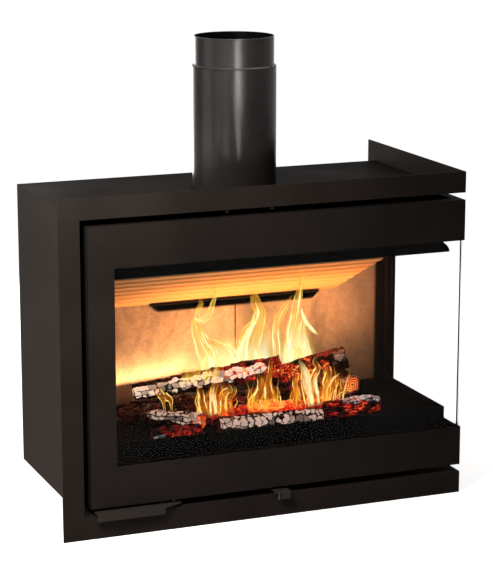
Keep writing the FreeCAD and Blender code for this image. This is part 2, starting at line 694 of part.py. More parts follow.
def baffle_under(y):
    """Height of the underside of the baffle at a depth y."""
    return f"(baffle_high - baffle_drop * (({y}) - baffle_front) / (baffle_back - baffle_front))"


def make_baffle():
    run = "(baffle_back - baffle_front)"
    under = []
    for rib in range(rib_count):
        for share, deep in RIB_STEPS:
            along = (rib + share) / rib_count
            under.append((f"baffle_front + {run} * {along}",
                          f"baffle_high - baffle_drop * {along} + rib_depth * {deep}"))
    under.append(("baffle_back", "baffle_low"))
    top = [("baffle_back", "baffle_low + baffle_thickness"), ("baffle_front", "baffle_high + baffle_thickness")]
    node(padded("baffle", "YZ_Plane", [under + top], "room_left", "baffle_right"), "baffle_slab")


def nozzle_outline(inset):
    """Outline of the secondary air nozzle, a long trapezium, drawn in evenly by an inset."""
    slope = "(nozzle_bevel / nozzle_height)"
    slant = f"(({inset}) * sqrt(1 + {slope}^2))"
    half = f"(nozzle_length / 2 - ({inset}) * {slope} - {slant})"
    low_half = f"(nozzle_length / 2 - nozzle_bevel + ({inset}) * {slope} - {slant})"
    return [(f"seam - {low_half}", f"nozzle_bottom + ({inset})"),
            (f"seam + {low_half}", f"nozzle_bottom + ({inset})"),
            (f"seam + {half}", f"nozzle_top - ({inset})"),
            (f"seam - {half}", f"nozzle_top - ({inset})")]


def make_secondary_air():
    node(padded("nozzle", "XZ_Plane", [nozzle_outline("0"), nozzle_outline("nozzle_sheet")],
                "nozzle_front", "room_back"), "secondary_air_nozzle")

    width = ("seam - duct_width / 2", "seam + duct_width / 2")
    shell = box("duct_shell", width, ("box_back", "duct_back"), ("opening_bottom", "duct_top"))
    inside = box("duct_inside", (f"{width[0]} + duct_sheet", f"{width[1]} - duct_sheet"),
                 ("box_back - duct_sheet", "duct_back - duct_sheet"),
                 ("opening_bottom + duct_sheet", "duct_top - duct_sheet"))
    hole = rod_back("duct_hole", "seam", ("duct_back - 2 * duct_sheet", "duct_back + duct_sheet"),
                    "inlet_height", "inlet_diameter - 2 * inlet_wall")
    node(cut("duct_cut", shell, inside, hole), "secondary_air_duct")

    # The spigot: a neck through the casing to the duct, a flange on the casing, and the tube behind it.
    end = "casing_back + inlet_length"
    neck = rod_back("inlet_neck", "seam", ("duct_back", "casing_back + inlet_wall"), "inlet_height",
                    "inlet_diameter - inlet_wall")
    flange = rod_back("inlet_flange", "seam", ("casing_back", "casing_back + inlet_wall"), "inlet_height",
                      "inlet_flange_diameter")
    tube = rod_back("inlet_tube", "seam", ("casing_back", end), "inlet_height", "inlet_diameter")
    bore = rod_back("inlet_bore", "seam", ("duct_back - inlet_wall", f"{end} + inlet_wall"),
                    "inlet_height", "inlet_diameter - 2 * inlet_wall")
    node(cut("inlet_cut", fuse("inlet_blank", neck, flange, tube), bore), "air_inlet_spigot")


def make_smoke_path():
    top = "roof_under - upper_drop"
    # The plate hangs on the left and back walls, cut back round the top of the lining.
    node(box("upper_plate", ("room_left", "post_left - upper_side_gap"),
             ("room_back - upper_depth", "room_back"), (top, f"{top} + firebox_plate")), "upper_deflector")

    blank = turned("collar", "flue_offset", "flue_y", [
        ("collar_bore / 2", "box_top"), ("collar_diameter / 2", "box_top"),
        ("collar_diameter / 2", "collar_top"), ("collar_outside / 2", "collar_top"),
        ("collar_outside / 2", "collar_top + collar_height"),
        ("collar_bore / 2", "collar_top + collar_height")])
    node(cut("collar_cut", blank, *bolt_holes("collar", "box_top", "collar_top")), "flue_collar")

    bolts = []
    for number, (x, y) in enumerate(bolt_places()):
        head = rod(f"bolt_head_{number}", x, y, ("collar_top", "collar_top + bolt_head_height"), "bolt_head")
        shank = rod(f"bolt_shank_{number}", x, y, ("roof_under - bolt_head_height", "collar_top"),
                    "bolt_diameter")
        bolts.append(fuse(f"bolt_{number}", head, shank))
    node(group("bolts", bolts), "collar_bolts")

    # The pipe stands on the collar's flange, over its tube, and narrows at the top in a rounded shoulder.
    wide = "flue_diameter / 2"
    slim = "spigot_diameter / 2"
    step = f"({wide} - {slim})"
    outside = [(wide, "collar_top")]
    inside = []
    for turn in range(bend_steps + 1):
        angle = 90 * turn / bend_steps
        outside.append((f"{wide} - {step} * (1 - cos({angle}))",
                        f"shoulder_top - shoulder_height * (1 - sin({angle}))"))
        inside.append((f"{wide} - {step} * (1 - cos({angle})) - flue_wall",
                       f"shoulder_top - shoulder_height * (1 - sin({angle})) - flue_wall * sin({angle}) / 2"))
    rim = [(slim, "flue_top"), (f"{slim} - flue_wall", "flue_top")]
    profile = outside + rim + inside[::-1] + [(f"{wide} - flue_wall", "collar_top")]
    node(turned("pipe", "flue_offset", "flue_y", profile), "flue_pipe")


def bolt_places():
    ring = "((flue_diameter + collar_diameter) / 4)"
    return [(f"flue_offset + {ring} * cos({360 * number / bolt_count})",
             f"flue_y + {ring} * sin({360 * number / bolt_count})") for number in range(bolt_count)]


def bolt_holes(name, low, high):
    return [rod(f"{name}_bolt_hole_{number}", x, y, (f"{low} - bolt_head_height", f"{high} + bolt_head_height"),
                "bolt_diameter + 2 * hole_clear") for number, (x, y) in enumerate(bolt_places())]


def make_hinges():
    column_right = "hinge_x - swing - swing_clear"
    column_left = f"{column_right} - column_width"
    node(box("column", (column_left, column_right),
             ("hinge_y - column_depth / 2", "hinge_y + column_depth / 2"), ("opening_bottom", "opening_top")),
         "hinge_column")

    # Each bracket reaches from the column over or under the door, and holds a pin that enters the door.
    levels = {"low": ("door_bottom - bracket_gap - bracket_sheet", "door_bottom - bracket_gap"),
              "high": ("door_top + bracket_gap", "door_top + bracket_gap + bracket_sheet")}
    brackets = []
    for name, z in levels.items():
        plate = box(f"bracket_plate_{name}", (column_right, "hinge_x"),
                    ("hinge_y - bracket_width / 2", "hinge_y + bracket_width / 2"), z)
        round_end = rod(f"bracket_end_{name}", "hinge_x", "hinge_y", z, "2 * (hinge_inset - hole_clear)")
        bore = rod(f"bracket_bore_{name}", "hinge_x", "hinge_y", (f"{z[0]} - bracket_sheet",
                   f"{z[1]} + bracket_sheet"), "pin_diameter + 2 * fit_clear")
        brackets.append(cut(f"bracket_{name}", fuse(f"bracket_blank_{name}", plate, round_end), bore))
    node(group("brackets", brackets), "hinge_brackets")

    low_under = levels["low"][0]
    low_pin = turned("pin_low", "hinge_x", "hinge_y", [
        ("0", f"{low_under} - pin_head_height"), ("pin_head / 2", f"{low_under} - pin_head_height"),
        ("pin_head / 2", low_under), ("pin_diameter / 2", low_under),
        ("pin_diameter / 2", "door_bottom + pin_grip"), ("0", "door_bottom + pin_grip")])
    high_over = levels["high"][1]
    high_pin = turned("pin_high", "hinge_x", "hinge_y", [
        ("0", "door_top - pin_grip"), ("pin_diameter / 2", "door_top - pin_grip"),
        ("pin_diameter / 2", high_over), ("pin_head / 2", high_over),
        ("pin_head / 2", f"{high_over} + pin_head_height"), ("0", f"{high_over} + pin_head_height")])
    node(group("pins", [low_pin, high_pin]), "hinge_pins")

    washer = turned("washer", "hinge_x", "hinge_y", [
        ("pin_diameter / 2 + fit_clear", levels["low"][1]), ("pin_head / 2", levels["low"][1]),
        ("pin_head / 2", "door_bottom - run_clear"),
        ("pin_diameter / 2 + fit_clear", "door_bottom - run_clear")])
    node(washer, "hinge_washer")

    bushes = []
    for name, z in (("low", ("door_bottom + door_sheet", "door_bottom + door_sheet + bush_length")),
                    ("high", ("door_top - door_sheet - bush_length", "door_top - door_sheet"))):
        bushes.append(ring(f"bush_{name}", "hinge_x", "hinge_y", z, "bush_diameter"))
    node(group("bushes", bushes), "hinge_bushes")


def ring(name, x, y, z, diameter):
    """A bush: a short tube that a pin turns in."""
    return turned(name, x, y, [
        ("pin_diameter / 2 + fit_clear", z[0]), (f"{diameter} / 2", z[0]), (f"{diameter} / 2", z[1]),
        ("pin_diameter / 2 + fit_clear", z[1])])


def make_door():
    height = ("door_bottom", "door_top")
    glass_hole = ("window_bottom", "window_top")
    shell = corner_band("door_block", "door_left", "front", "right", "door_rear", "door_depth", height)
    hollow = padded("door_hollow", "XY_Plane", [corner_plan(
        "door_left + door_sheet", "front + door_sheet", "right - door_sheet", "door_rear - door_sheet",
        "door_depth")], "door_bottom + door_sheet", "door_top - door_sheet")
    opening = window("door_window", "window_left", "window_rear", glass_hole)
    pin_hole = "pin_diameter + 2 * hole_clear"
    pins = rod("door_pin_hole", "hinge_x", "hinge_y", ("door_bottom - door_sheet", "door_top + door_sheet"),
               pin_hole)
    spindle = rod("door_spindle_hole", "pivot_x", "pivot_y", ("door_bottom - door_sheet",
                  "door_bottom + 2 * door_sheet"), pin_hole)
    node(cut("door_cut", shell, hollow, opening, pins, spindle), "door_frame")

    band = corner_band("panel_band", "door_left + door_sheet", "door_inside - door_sheet",
                       "door_side + door_sheet", "door_rear - door_sheet", "door_sheet",
                       ("door_bottom + door_sheet", "door_top - door_sheet"))
    view = window("panel_window", "window_left", "window_rear", glass_hole)
    node(cut("panel_cut", band, view), "door_inner_panel")

    tall = ("glass_bottom", "glass_top")
    node(box("pane_front", ("window_left - glass_lap", "glass_outside"), ("glass_front", "glass_back"), tall),
         "front_glass")
    node(box("pane_side", ("glass_inside", "glass_outside"),
             ("glass_back + corner_joint", "window_rear + glass_lap"), tall), "side_glass")
    node(box("corner_seal", ("glass_inside + bead_recess", "glass_outside - bead_recess"),
             ("glass_back", "glass_back + corner_joint"), tall), "glass_corner_seal")
    make_retainers()

    rope = corner_band("rope_band", "seal_left", "door_inside", "door_side", "seal_rear",
                       "seal_depth - run_clear", ("seal_bottom - seal_width", "seal_top + seal_width"))
    inside = window("rope_window", "seal_left + seal_width", "seal_rear - seal_width",
                    ("seal_bottom", "seal_top"))
    node(cut("rope_cut", rope, inside), "door_rope_seal")


def make_retainers():
    """Strips behind the glass on all four sides, held by screws just outside its edge."""
    lap = "(run_clear + retainer_width)"
    front = "glass_back + run_clear"
    outside = "glass_inside - run_clear"
    long = ("window_left - " + lap, front, outside, "window_rear + " + lap, "retainer_sheet")
    rims = {"low": ("window_bottom - retainer_width - run_clear", "window_bottom - run_clear"),
            "high": ("window_top + run_clear", "window_top + run_clear + retainer_width")}
    strips = [corner_band(f"retainer_{name}", *long, z) for name, z in rims.items()]
    between = (f"{rims['low'][1]} + run_clear", f"{rims['high'][0]} - run_clear")
    strips.append(box("retainer_left", (f"window_left - {lap}", "window_left - run_clear"),
                      (front, f"{front} + retainer_sheet"), between))
    strips.append(box("retainer_rear", (f"{outside} - retainer_sheet", outside),
                      ("window_rear + run_clear", f"window_rear + {lap}"), between))

    screws = []
    holes = []
    rows = {"low": "(window_bottom - retainer_width + glass_bottom) / 2",
            "high": "(window_top + retainer_width + glass_top) / 2"}
    back = f"{front} + retainer_sheet"
    first = "(window_left + screw_head)"
    span = "(glass_inside - window_left - 6 * screw_head)"
    for name, z in rows.items():
        for number in range(screw_count):
            x = f"{first} + {span} * {number / (screw_count - 1)}"
            key = f"{name}_{number}"
            head = rod_back(f"screw_head_{key}", x, (back, f"{back} + screw_head_height"), z, "screw_head")
            shank = rod_back(f"screw_shank_{key}", x, ("front + door_sheet", back), z, "screw_diameter")
            screws.append(fuse(f"screw_{key}", head, shank))
            holes.append(rod_back(f"screw_hole_{key}", x, ("front + 2 * door_sheet", f"{back} + screw_head"),
                                  z, "screw_diameter + 2 * fit_clear"))
    drilled = []
    for strip, name in zip(strips, rims):
        row = [hole for hole in holes if f"_{name}_" in hole.Name]
        drilled.append(cut(f"{strip.Name}_cut", strip, *row))
    node(group("retainers", drilled + strips[2:]), "glass_retainers")
    node(group("screws", screws), "retainer_screws")


def make_handle():
    under = "handle_under"
    top = "handle_top"
    plate = padded("handle_plate", "XY_Plane", [[
        ("grip_left", "grip_front"), ("grip_right", "grip_front"),
        ("pivot_x", "pivot_y - nose_radius"), ("pivot_x", "pivot_y + nose_radius"),
        ("grip_right", "front + handle_back"), ("grip_left", "front + handle_back")]], under, top)
    nose = rod("handle_nose", "pivot_x", "pivot_y", (under, top), "2 * nose_radius")
    lip = box("handle_lip", ("grip_left", "grip_right"), ("grip_front", "grip_front + handle_sheet"),
              (f"{under} - grip_height", under))
    bore = rod("handle_bore", "pivot_x", "pivot_y", (f"{under} - handle_sheet", f"{top} + handle_sheet"),
               "pin_diameter + 2 * fit_clear")
    node(cut("handle_cut", fuse("handle_blank", plate, nose, lip), bore), "handle_lever")

    bush_top = "door_bottom + door_sheet + bush_length"
    node(turned("spindle", "pivot_x", "pivot_y", [
        ("0", f"{under} - pin_head_height"), ("pin_head / 2", f"{under} - pin_head_height"),
        ("pin_head / 2", under), ("pin_diameter / 2", under),
        ("pin_diameter / 2", f"{bush_top} + nut_height"), ("0", f"{bush_top} + nut_height")]),
        "handle_spindle")
    node(ring("spindle_ring", "pivot_x", "pivot_y", (f"{bush_top} + run_clear", f"{bush_top} + nut_height"),
              "handle_bush_diameter"), "spindle_nut")
    node(ring("handle_ring", "pivot_x", "pivot_y", ("door_bottom + door_sheet", bush_top),
              "handle_bush_diameter"), "handle_bush")


def make_catch():
    x = ("pivot_x - keeper_width / 2", "pivot_x + keeper_width / 2")
    far = "roller_y + roller_diameter"
    base = box("keeper_foot", x, ("roller_y - roller_diameter / 2", far),
               ("opening_bottom", "opening_bottom + keeper_sheet"))
    wall = box("keeper_wall", x, (far, f"{far} + keeper_sheet"), ("opening_bottom", "door_bottom"))
    roller = rod("roller", "pivot_x", "roller_y", ("opening_bottom + keeper_sheet", "handle_top"),
                 "roller_diameter")
    node(group("catch", [fuse("keeper", base, wall), roller]), "catch_keeper")


def wood(name, length, width, right_of, ahead, above, turn, tilt):
    """A split log: a prism of irregular section, laid by its middle."""
    points = [(f"hearth_run * {width * side}", f"hearth_run * {width * up}") for side, up in LOG_SECTION]
    half = f"hearth_run * {length} / 2"
    body = padded(name, "YZ_Plane", [points], f"-{half}", half)
    lie = FreeCAD.Rotation(FreeCAD.Vector(0, 0, 1), turn)
    body.Placement.Rotation = lie * FreeCAD.Rotation(FreeCAD.Vector(0, 1, 0), -tilt)
    place(body, f"room_middle + hearth_run * {right_of}", f"lining_face - hearth_run * {ahead}",
          f"hearth_top + hearth_run * {above}")
    return body


def make_fire():
    """A low heap of embers and ash, charred chunks before it and on it, and the logs on and before it."""
    plan = [(f"room_middle + hearth_run * {EMBERS['right'] + EMBERS['width'] * side}",
             f"lining_face - hearth_run * {EMBERS['ahead'] + EMBERS['depth'] * ahead}")
            for side, ahead in EMBER_PLAN]
    top = f"hearth_top + hearth_run * {EMBERS['height']}"
    heap = padded("ember_blank", "XY_Plane", [plan], "hearth_top", top)
    chunks = [wood(name, *lay) for name, lay in CHUNKS.items()]
    node(group("embers", [heap, *chunks]), "ember_bed")
    for label, lay in LOGS.items():
        node(wood(f"{label}_body", *lay), label)


make_trim()
make_casing()
make_feet()
make_firebox()
make_hearth()
make_air_box()
make_air_control()
make_deflector()
make_lining()
make_baffle()
make_secondary_air()
make_smoke_path()
make_hinges()
make_door()
make_handle()
make_catch()
make_fire()
doc.recompute()

for thing in doc.Objects:
    if "Invalid" in thing.State or "Error" in thing.State:
        raise RuntimeError(f"{thing.Name} failed: {thing.State}")
for thing in nodes:
    if thing.Shape.isNull() or not thing.Shape.isValid() or not thing.Shape.Solids:
        raise RuntimeError(f"{thing.Label} has no valid solid")

os.makedirs("parts", exist_ok=True)
for thing in nodes:
    thing.Shape.exportStep(f"parts/{thing.Label}.step")
    print(thing.Label, len(thing.Shape.Solids), round(thing.Shape.Volume))
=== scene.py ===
import math
import random

import bmesh
import bpy
from mathutils import Matrix, Vector, noise


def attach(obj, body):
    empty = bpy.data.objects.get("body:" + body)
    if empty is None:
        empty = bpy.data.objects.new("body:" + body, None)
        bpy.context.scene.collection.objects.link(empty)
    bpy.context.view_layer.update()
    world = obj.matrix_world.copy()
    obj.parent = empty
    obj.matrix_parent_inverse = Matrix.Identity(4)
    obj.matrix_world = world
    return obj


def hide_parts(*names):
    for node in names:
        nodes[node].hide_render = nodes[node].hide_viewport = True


# Looks of the corner fireplace insert: paint, lining, glass, and a wood fire on the hearth.

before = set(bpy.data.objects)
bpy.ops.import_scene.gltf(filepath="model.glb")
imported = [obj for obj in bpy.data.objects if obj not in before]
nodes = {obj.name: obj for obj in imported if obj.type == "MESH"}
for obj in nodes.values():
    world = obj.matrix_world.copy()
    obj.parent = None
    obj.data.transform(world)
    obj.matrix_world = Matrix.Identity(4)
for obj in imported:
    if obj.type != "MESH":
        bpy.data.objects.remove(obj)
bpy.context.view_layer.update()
print("frame loaded:", len(nodes), "nodes")


# Camera, floor and studio light

viewSettings = {
    "place": (-1.801, -4.6185, 1.614),
    "tilt": 77.19,
    "turn": -21.81,
    "lens": 130.6,
    "sensor": 36,
}
stageSettings = {
    "floorSize": 40.0,
    "floorColour": (0.86, 0.86, 0.86, 1),
    "floorPale": (0.88, 0.88, 0.88, 1),    # the palest of its slow blotches
    "floorBlotches": 3.0,
    "floorLift": (0.90, 1.0),    # how much of the floor's white is its own by the object and away from it
    "liftReach": (0.75, 1.9),    # the distances from the object between which it changes
    "ambient": 0.022,            # world light on the object
}
lampSettings = {
    # name: place, aim, width, height, watts, colour, and the angle of the grid in front of it (180 is none)
    "keySoftbox": ((-0.9, -1.0, 1.3), (-0.48, -0.2, 0.5), 0.6, 0.6, 12.8, (1.0, 0.93, 0.88), 130),
    "sideSoftbox": ((-1.9, 0.35, 0.75), (-0.5, 0.0, 0.5), 0.9, 0.9, 20, (1.0, 0.93, 0.88), 180),
    "pipeStrip": ((-0.343, -1.947, 0.68), (0.02, 0.01, 1.11), 0.5, 0.30, 2.1, (1.0, 0.95, 0.90), 9),
    "pipeFillNear": ((-1.37, -1.43, 0.64), (0.02, 0.01, 1.12), 0.7, 0.30, 0.50, (1.0, 0.95, 0.90), 24),
    "pipeFillMid": ((-1.81, -0.80, 0.64), (0.02, 0.01, 1.12), 0.7, 0.30, 0.42, (1.0, 0.95, 0.90), 24),
    "pipeFillFar": ((-1.98, -0.06, 0.64), (0.02, 0.01, 1.12), 0.7, 0.30, 0.20, (1.0, 0.95, 0.90), 24),
    "rearSoftbox": ((-0.2, 2.4, 0.65), (0.0, 0.28, 0.45), 0.9, 0.9, 22, (1.0, 0.95, 0.91), 180),
    "rightSoftbox": ((2.3, 0.45, 0.16), (0.5, 0.05, 0.45), 1.0, 0.28, 13, (1.0, 0.95, 0.91), 180),
    "topSoftbox": ((-1.1, 0.4, 2.4), (-0.3, 0.1, 0.8), 1.0, 1.0, 0.3, (1.0, 0.94, 0.88), 180),
}


def aimAt(thing, place, aim):
    thing.location = place
    thing.rotation_euler = (Vector(aim) - Vector(place)).to_track_quat("-Z", "Y").to_euler()


def addLamp(name, place, aim, width, height, watts, colour, grid=180):
    data = bpy.data.lights.new(name, "AREA")
    data.shape = "RECTANGLE"
    data.size = width
    data.size_y = height
    data.energy = watts
    data.color = colour
    data.spread = math.radians(grid)
    lamp = bpy.data.objects.new(name, data)
    bpy.context.collection.objects.link(lamp)
    lamp.visible_camera = False
    lamp.visible_transmission = False
    aimAt(lamp, place, aim)
    return lamp


def makeCamera():
    data = bpy.data.cameras.new("photoCamera")
    data.sensor_width = viewSettings["sensor"]
    data.lens = viewSettings["lens"]
    camera = bpy.data.objects.new("photoCamera", data)
    bpy.context.collection.objects.link(camera)
    camera.location = viewSettings["place"]
    camera.rotation_euler = (math.radians(viewSettings["tilt"]), 0, math.radians(viewSettings["turn"]))
    bpy.context.scene.camera = camera


makeCamera()
for lampName, lampValues in lampSettings.items():
    addLamp(lampName, *lampValues)
bpy.context.scene.view_settings.view_transform = "Standard"
print("camera and lamps set")


# Small tools for node trees

def addNode(tree, kind, inputs=None, **settings):
    made = tree.nodes.new("ShaderNode" + kind)
    for name, setting in settings.items():
        setattr(made, name, setting)
    for name, setting in (inputs or {}).items():
        feed(tree, setting, made.inputs[name])
    return made


def feed(tree, source, socket):
    if isinstance(source, bpy.types.NodeSocket):
        tree.links.new(source, socket)
    else:
        socket.default_value = source


def maths(tree, work, first, second=0.0, third=0.0):
    made = addNode(tree, "Math", operation=work)
    for socket, source in zip(made.inputs, (first, second, third)):
        feed(tree, source, socket)
    return made.outputs[0]


def times(tree, first, second):
    return maths(tree, "MULTIPLY", first, second)


def scaleAdd(tree, source, gain, start):
    return maths(tree, "MULTIPLY_ADD", source, gain, start)


def spread(tree, source, low, high, start=0.0, end=1.0):
    # goes from start to end while the source goes from low to high, soft at both ends
    made = addNode(tree, "MapRange", {"Value": source, "From Min": low, "From Max": high, "To Min": start,
                                      "To Max": end}, interpolation_type="SMOOTHSTEP")
    return made.outputs[0]


def mixColour(tree, share, first, second, way="MIX"):
    made = addNode(tree, "Mix", data_type="RGBA", blend_type=way)
    feed(tree, share, made.inputs[0])
    feed(tree, first, made.inputs[6])
    feed(tree, second, made.inputs[7])
    return made.outputs[2]


def colourSteps(tree, source, steps):
    made = addNode(tree, "ValToRGB", {"Fac": source})
    marks = made.color_ramp.elements
    while len(marks) < len(steps):
        marks.new(1.0)
    for mark, (where, colour) in zip(marks, steps):
        mark.position = where
        mark.color = (*colour, 1)
    return made.outputs[0]


def cloud(tree, place, scale, detail=4.0, rough=0.55, bend=0.0):
    return addNode(tree, "TexNoise", {"Vector": place, "Scale": scale, "Detail": detail, "Roughness": rough,
                                      "Distortion": bend}).outputs[0]


def axesOf(tree, place):
    return addNode(tree, "SeparateXYZ", {0: place}).outputs


def objectPlace(tree, stretch=(1, 1, 1)):
    where = addNode(tree, "TexCoord").outputs["Object"]
    return addNode(tree, "Mapping", {"Vector": where, "Scale": stretch}).outputs[0]


def startGroup(name, inputs, outputs):
    group = bpy.data.node_groups.new(name, "ShaderNodeTree")
    for label, kind, start in inputs:
        socket = group.interface.new_socket(name=label, in_out="INPUT", socket_type="NodeSocket" + kind)
        socket.default_value = start
    for label, kind in outputs:
        group.interface.new_socket(name=label, in_out="OUTPUT", socket_type="NodeSocket" + kind)
    return group, group.nodes.new("NodeGroupInput").outputs, group.nodes.new("NodeGroupOutput").inputs


def useGroup(tree, group, **inputs):
    made = tree.nodes.new("ShaderNodeGroup")
    made.node_tree = group
    for name, setting in inputs.items():
        feed(tree, setting, made.inputs[name])
    return made.outputs


def startMaterial(name, **settings):
    material = bpy.data.materials.new(name)
    material.use_nodes = True
    tree = material.node_tree
    shader = tree.nodes["Principled BSDF"]
    for label, setting in settings.items():
        shader.inputs[label.replace("_", " ")].default_value = setting
    return material, tree, shader


def bumpInto(tree, shader, height, strength, depth, normal=None):
    inputs = {"Height": height, "Strength": strength, "Distance": depth}
    if normal is not None:
        inputs["Normal"] = normal
    feed(tree, addNode(tree, "Bump", inputs).outputs[0], shader.inputs["Normal"])


# Shared surface effects

grainSettings = {
    "blotchScale": 5.0,
    "blotchRange": (0.3, 0.7),      # noise of the darkest and the palest blotch
    "speckRange": (0.35, 0.75),     # noise of the darkest and the palest speck
    "speckGain": (0.9, 1.14),       # how dark and how pale the specks are
    "roughSwing": 0.06,             # how far the roughness follows the blotches
}


def makePaintGrain():
    # powder-coat grain: slow blotches, fine orange-peel grain, a roughness that follows the blotches
    group, given, gives = startGroup("paintGrain", [
        ("Colour", "Color", (0.03, 0.03, 0.03, 1)), ("Blotch", "Float", 0.25), ("Grain", "Float", 900.0),
        ("Rough", "Float", 0.5)], [("Colour", "Color"), ("Rough", "Float"), ("Height", "Float")])
    where = objectPlace(group)
    slow = cloud(group, where, scale=grainSettings["blotchScale"], detail=5.0)
    fine = cloud(group, where, scale=given["Grain"], detail=2.0)
    swing = spread(group, slow, *grainSettings["blotchRange"], -1.0, 1.0)
    lift = scaleAdd(group, swing, given["Blotch"], 1.0)
    speck = spread(group, fine, *grainSettings["speckRange"], *grainSettings["speckGain"])
    lifted = addNode(group, "VectorMath", {0: given["Colour"], "Scale": times(group, lift, speck)},
                     operation="SCALE")
    feed(group, lifted.outputs[0], gives["Colour"])
    feed(group, scaleAdd(group, swing, grainSettings["roughSwing"], given["Rough"]), gives["Rough"])
    feed(group, fine, gives["Height"])
    return group


wearSettings = {
    "turn": (0.995, 0.85),          # cosine between the flat and the rounded normal: no wear, full wear
    "breakScale": 60.0,
    "breakRange": (0.35, 0.65),     # noise where the wear starts and is full
}


def makeEdgeWear():
    # pale rubbed edges: where a rounded normal leaves the flat one, broken up by noise
    group, given, gives = startGroup("edgeWear", [
        ("Radius", "Float", 0.0015), ("Amount", "Float", 0.5)], [("Mask", "Float"), ("Normal", "Vector")])
    flat = addNode(group, "NewGeometry").outputs["Normal"]
    rounded = addNode(group, "Bevel", {"Radius": given["Radius"]}, samples=4).outputs[0]
    together = addNode(group, "VectorMath", {0: flat, 1: rounded}, operation="DOT_PRODUCT").outputs["Value"]
    turned = spread(group, together, *wearSettings["turn"])
    uneven = cloud(group, objectPlace(group), scale=wearSettings["breakScale"], detail=6.0, rough=0.7)
    worn = times(group, turned, spread(group, uneven, *wearSettings["breakRange"]))
    feed(group, times(group, worn, given["Amount"]), gives["Mask"])
    feed(group, rounded, gives["Normal"])
    return group


upDustAndHighlightSettings = {
    "faceUp": (0.3, 0.95),          # upward share of the normal: where the mask starts and is full
    "patchRange": (0.25, 0.8),      # noise of a bare and of a full patch
}


def makeUpDustAndHighlight():
    # dust that settles on faces that look up; on the flue pipe it paints a highlight on those faces
    group, given, gives = startGroup("upDustAndHighlight", [("Amount", "Float", 0.3), ("Scale", "Float", 8.0)],
                                     [("Mask", "Float")])
    faceUp = axesOf(group, addNode(group, "NewGeometry").outputs["Normal"])["Z"]
    lying = spread(group, faceUp, *upDustAndHighlightSettings["faceUp"])
    uneven = cloud(group, objectPlace(group), scale=given["Scale"], detail=8.0, rough=0.65)
    patchy = spread(group, uneven, *upDustAndHighlightSettings["patchRange"])
    feed(group, times(group, times(group, lying, patchy), given["Amount"]), gives["Mask"])
    return group


hazeSettings = {
    "stretch": (1.0, 1.0, 0.45),    # drawn out upwards
    "range": (0.42, 0.72),          # noise of clean board and of full soot
}


def makeSootHaze():
    # soft soot clouds with a streaky upward drift
    group, given, gives = startGroup("sootHaze", [("Amount", "Float", 0.5), ("Scale", "Float", 6.0)],
                                     [("Mask", "Float")])
    drift = cloud(group, objectPlace(group, hazeSettings["stretch"]), scale=given["Scale"], detail=7.0,
                  rough=0.62, bend=0.8)
    feed(group, times(group, spread(group, drift, *hazeSettings["range"]), given["Amount"]), gives["Mask"])
    return group


creaseOpen = (0.95, 0.60)           # how open a spot is where the painted shade starts and is full


def makeCreaseShade():
    # painted shade that gathers in grooves and joints, from how open a spot is
    group, given, gives = startGroup("creaseShade", [("Reach", "Float", 0.008), ("Amount", "Float", 0.7)],
                                     [("Mask", "Float")])
    clear = addNode(group, "AmbientOcclusion", {"Distance": given["Reach"]}, samples=8).outputs["AO"]
    feed(group, times(group, spread(group, clear, *creaseOpen), given["Amount"]), gives["Mask"])
    return group


charSettings = {
    "black": (0.004, 0.0035, 0.0035, 1),
    "brown": (0.020, 0.014, 0.012, 1),
    "red": (0.110, 0.028, 0.018, 1),
    "redRange": (0.44, 0.64),       # noise where the red patches start and are full
    "grainScale": 150.0,
    "patchScale": 40.0,
    "checkScale": 230.0,
    "checkEdge": (0.0, 0.12),       # bottom and rim of a fine check
    "ashBreak": 0.9,                # how far the grain breaks up the ash
    "ashRange": (0.25, 0.60),
    "blockRange": (0.35, 0.85),     # crack value where a block's ash starts and is full
    "toneRange": (0.0, 0.55),       # dark blocks carry less ash
    "toneAsh": (0.22, 1.0),
    "dirt": (0.10, 0.07, 0.07, 1),
    "dirtShare": 0.62,
    "dirtRange": (0.30, 0.62),
    "lightRange": (0.25, 0.60),     # grain where the ash gets least and most of its painted light
    "light": (0.45, 1.0),
}


def makeCharWood():
    # burnt wood: black and dark red char with fine checks, and pale ash where the mesh says that it lies,
    # with a share of painted light for that ash
    group, given, gives = startGroup("charWood", [
        ("Crack", "Float", 1.0), ("Tone", "Float", 0.5), ("Ash", "Float", 0.5),
        ("Pale", "Color", (0.6, 0.55, 0.52, 1))],
        [("Colour", "Color"), ("Ash", "Float"), ("Height", "Float")])
    where = objectPlace(group)
    grain = cloud(group, where, scale=charSettings["grainScale"], detail=6.0, rough=0.7)
    patches = cloud(group, where, scale=charSettings["patchScale"], detail=5.0, rough=0.6)
    checks = addNode(group, "TexVoronoi", {"Vector": where, "Scale": charSettings["checkScale"]},
                     feature="DISTANCE_TO_EDGE").outputs[0]
    ashBreak = charSettings["ashBreak"]
    broken = maths(group, "ADD", given["Ash"], scaleAdd(group, grain, ashBreak, -ashBreak / 2))
    onBlock = spread(group, given["Crack"], *charSettings["blockRange"])
    ash = times(group, spread(group, broken, *charSettings["ashRange"]), onBlock)
    byTone = spread(group, given["Tone"], *charSettings["toneRange"], *charSettings["toneAsh"])
    ash = times(group, ash, byTone)
    char = mixColour(group, grain, charSettings["black"], charSettings["brown"])
    char = mixColour(group, spread(group, patches, *charSettings["redRange"]), char, charSettings["red"])
    dirty = mixColour(group, charSettings["dirtShare"], given["Pale"], charSettings["dirt"])
    dusty = mixColour(group, spread(group, grain, *charSettings["dirtRange"]), dirty, given["Pale"])
    light = spread(group, grain, *charSettings["lightRange"], *charSettings["light"])
    feed(group, mixColour(group, ash, char, dusty), gives["Colour"])
    # the ash mask, scaled by how much painted light the ash takes
    feed(group, times(group, ash, light), gives["Ash"])
    checked = spread(group, checks, *charSettings["checkEdge"])
    feed(group, maths(group, "ADD", grain, checked), gives["Height"])
    return group


paintGrain = makePaintGrain()
edgeWear = makeEdgeWear()
upDustAndHighlight = makeUpDustAndHighlight()
sootHaze = makeSootHaze()
creaseShade = makeCreaseShade()
charWood = makeCharWood()
print("surface effects made")


# Floor and background

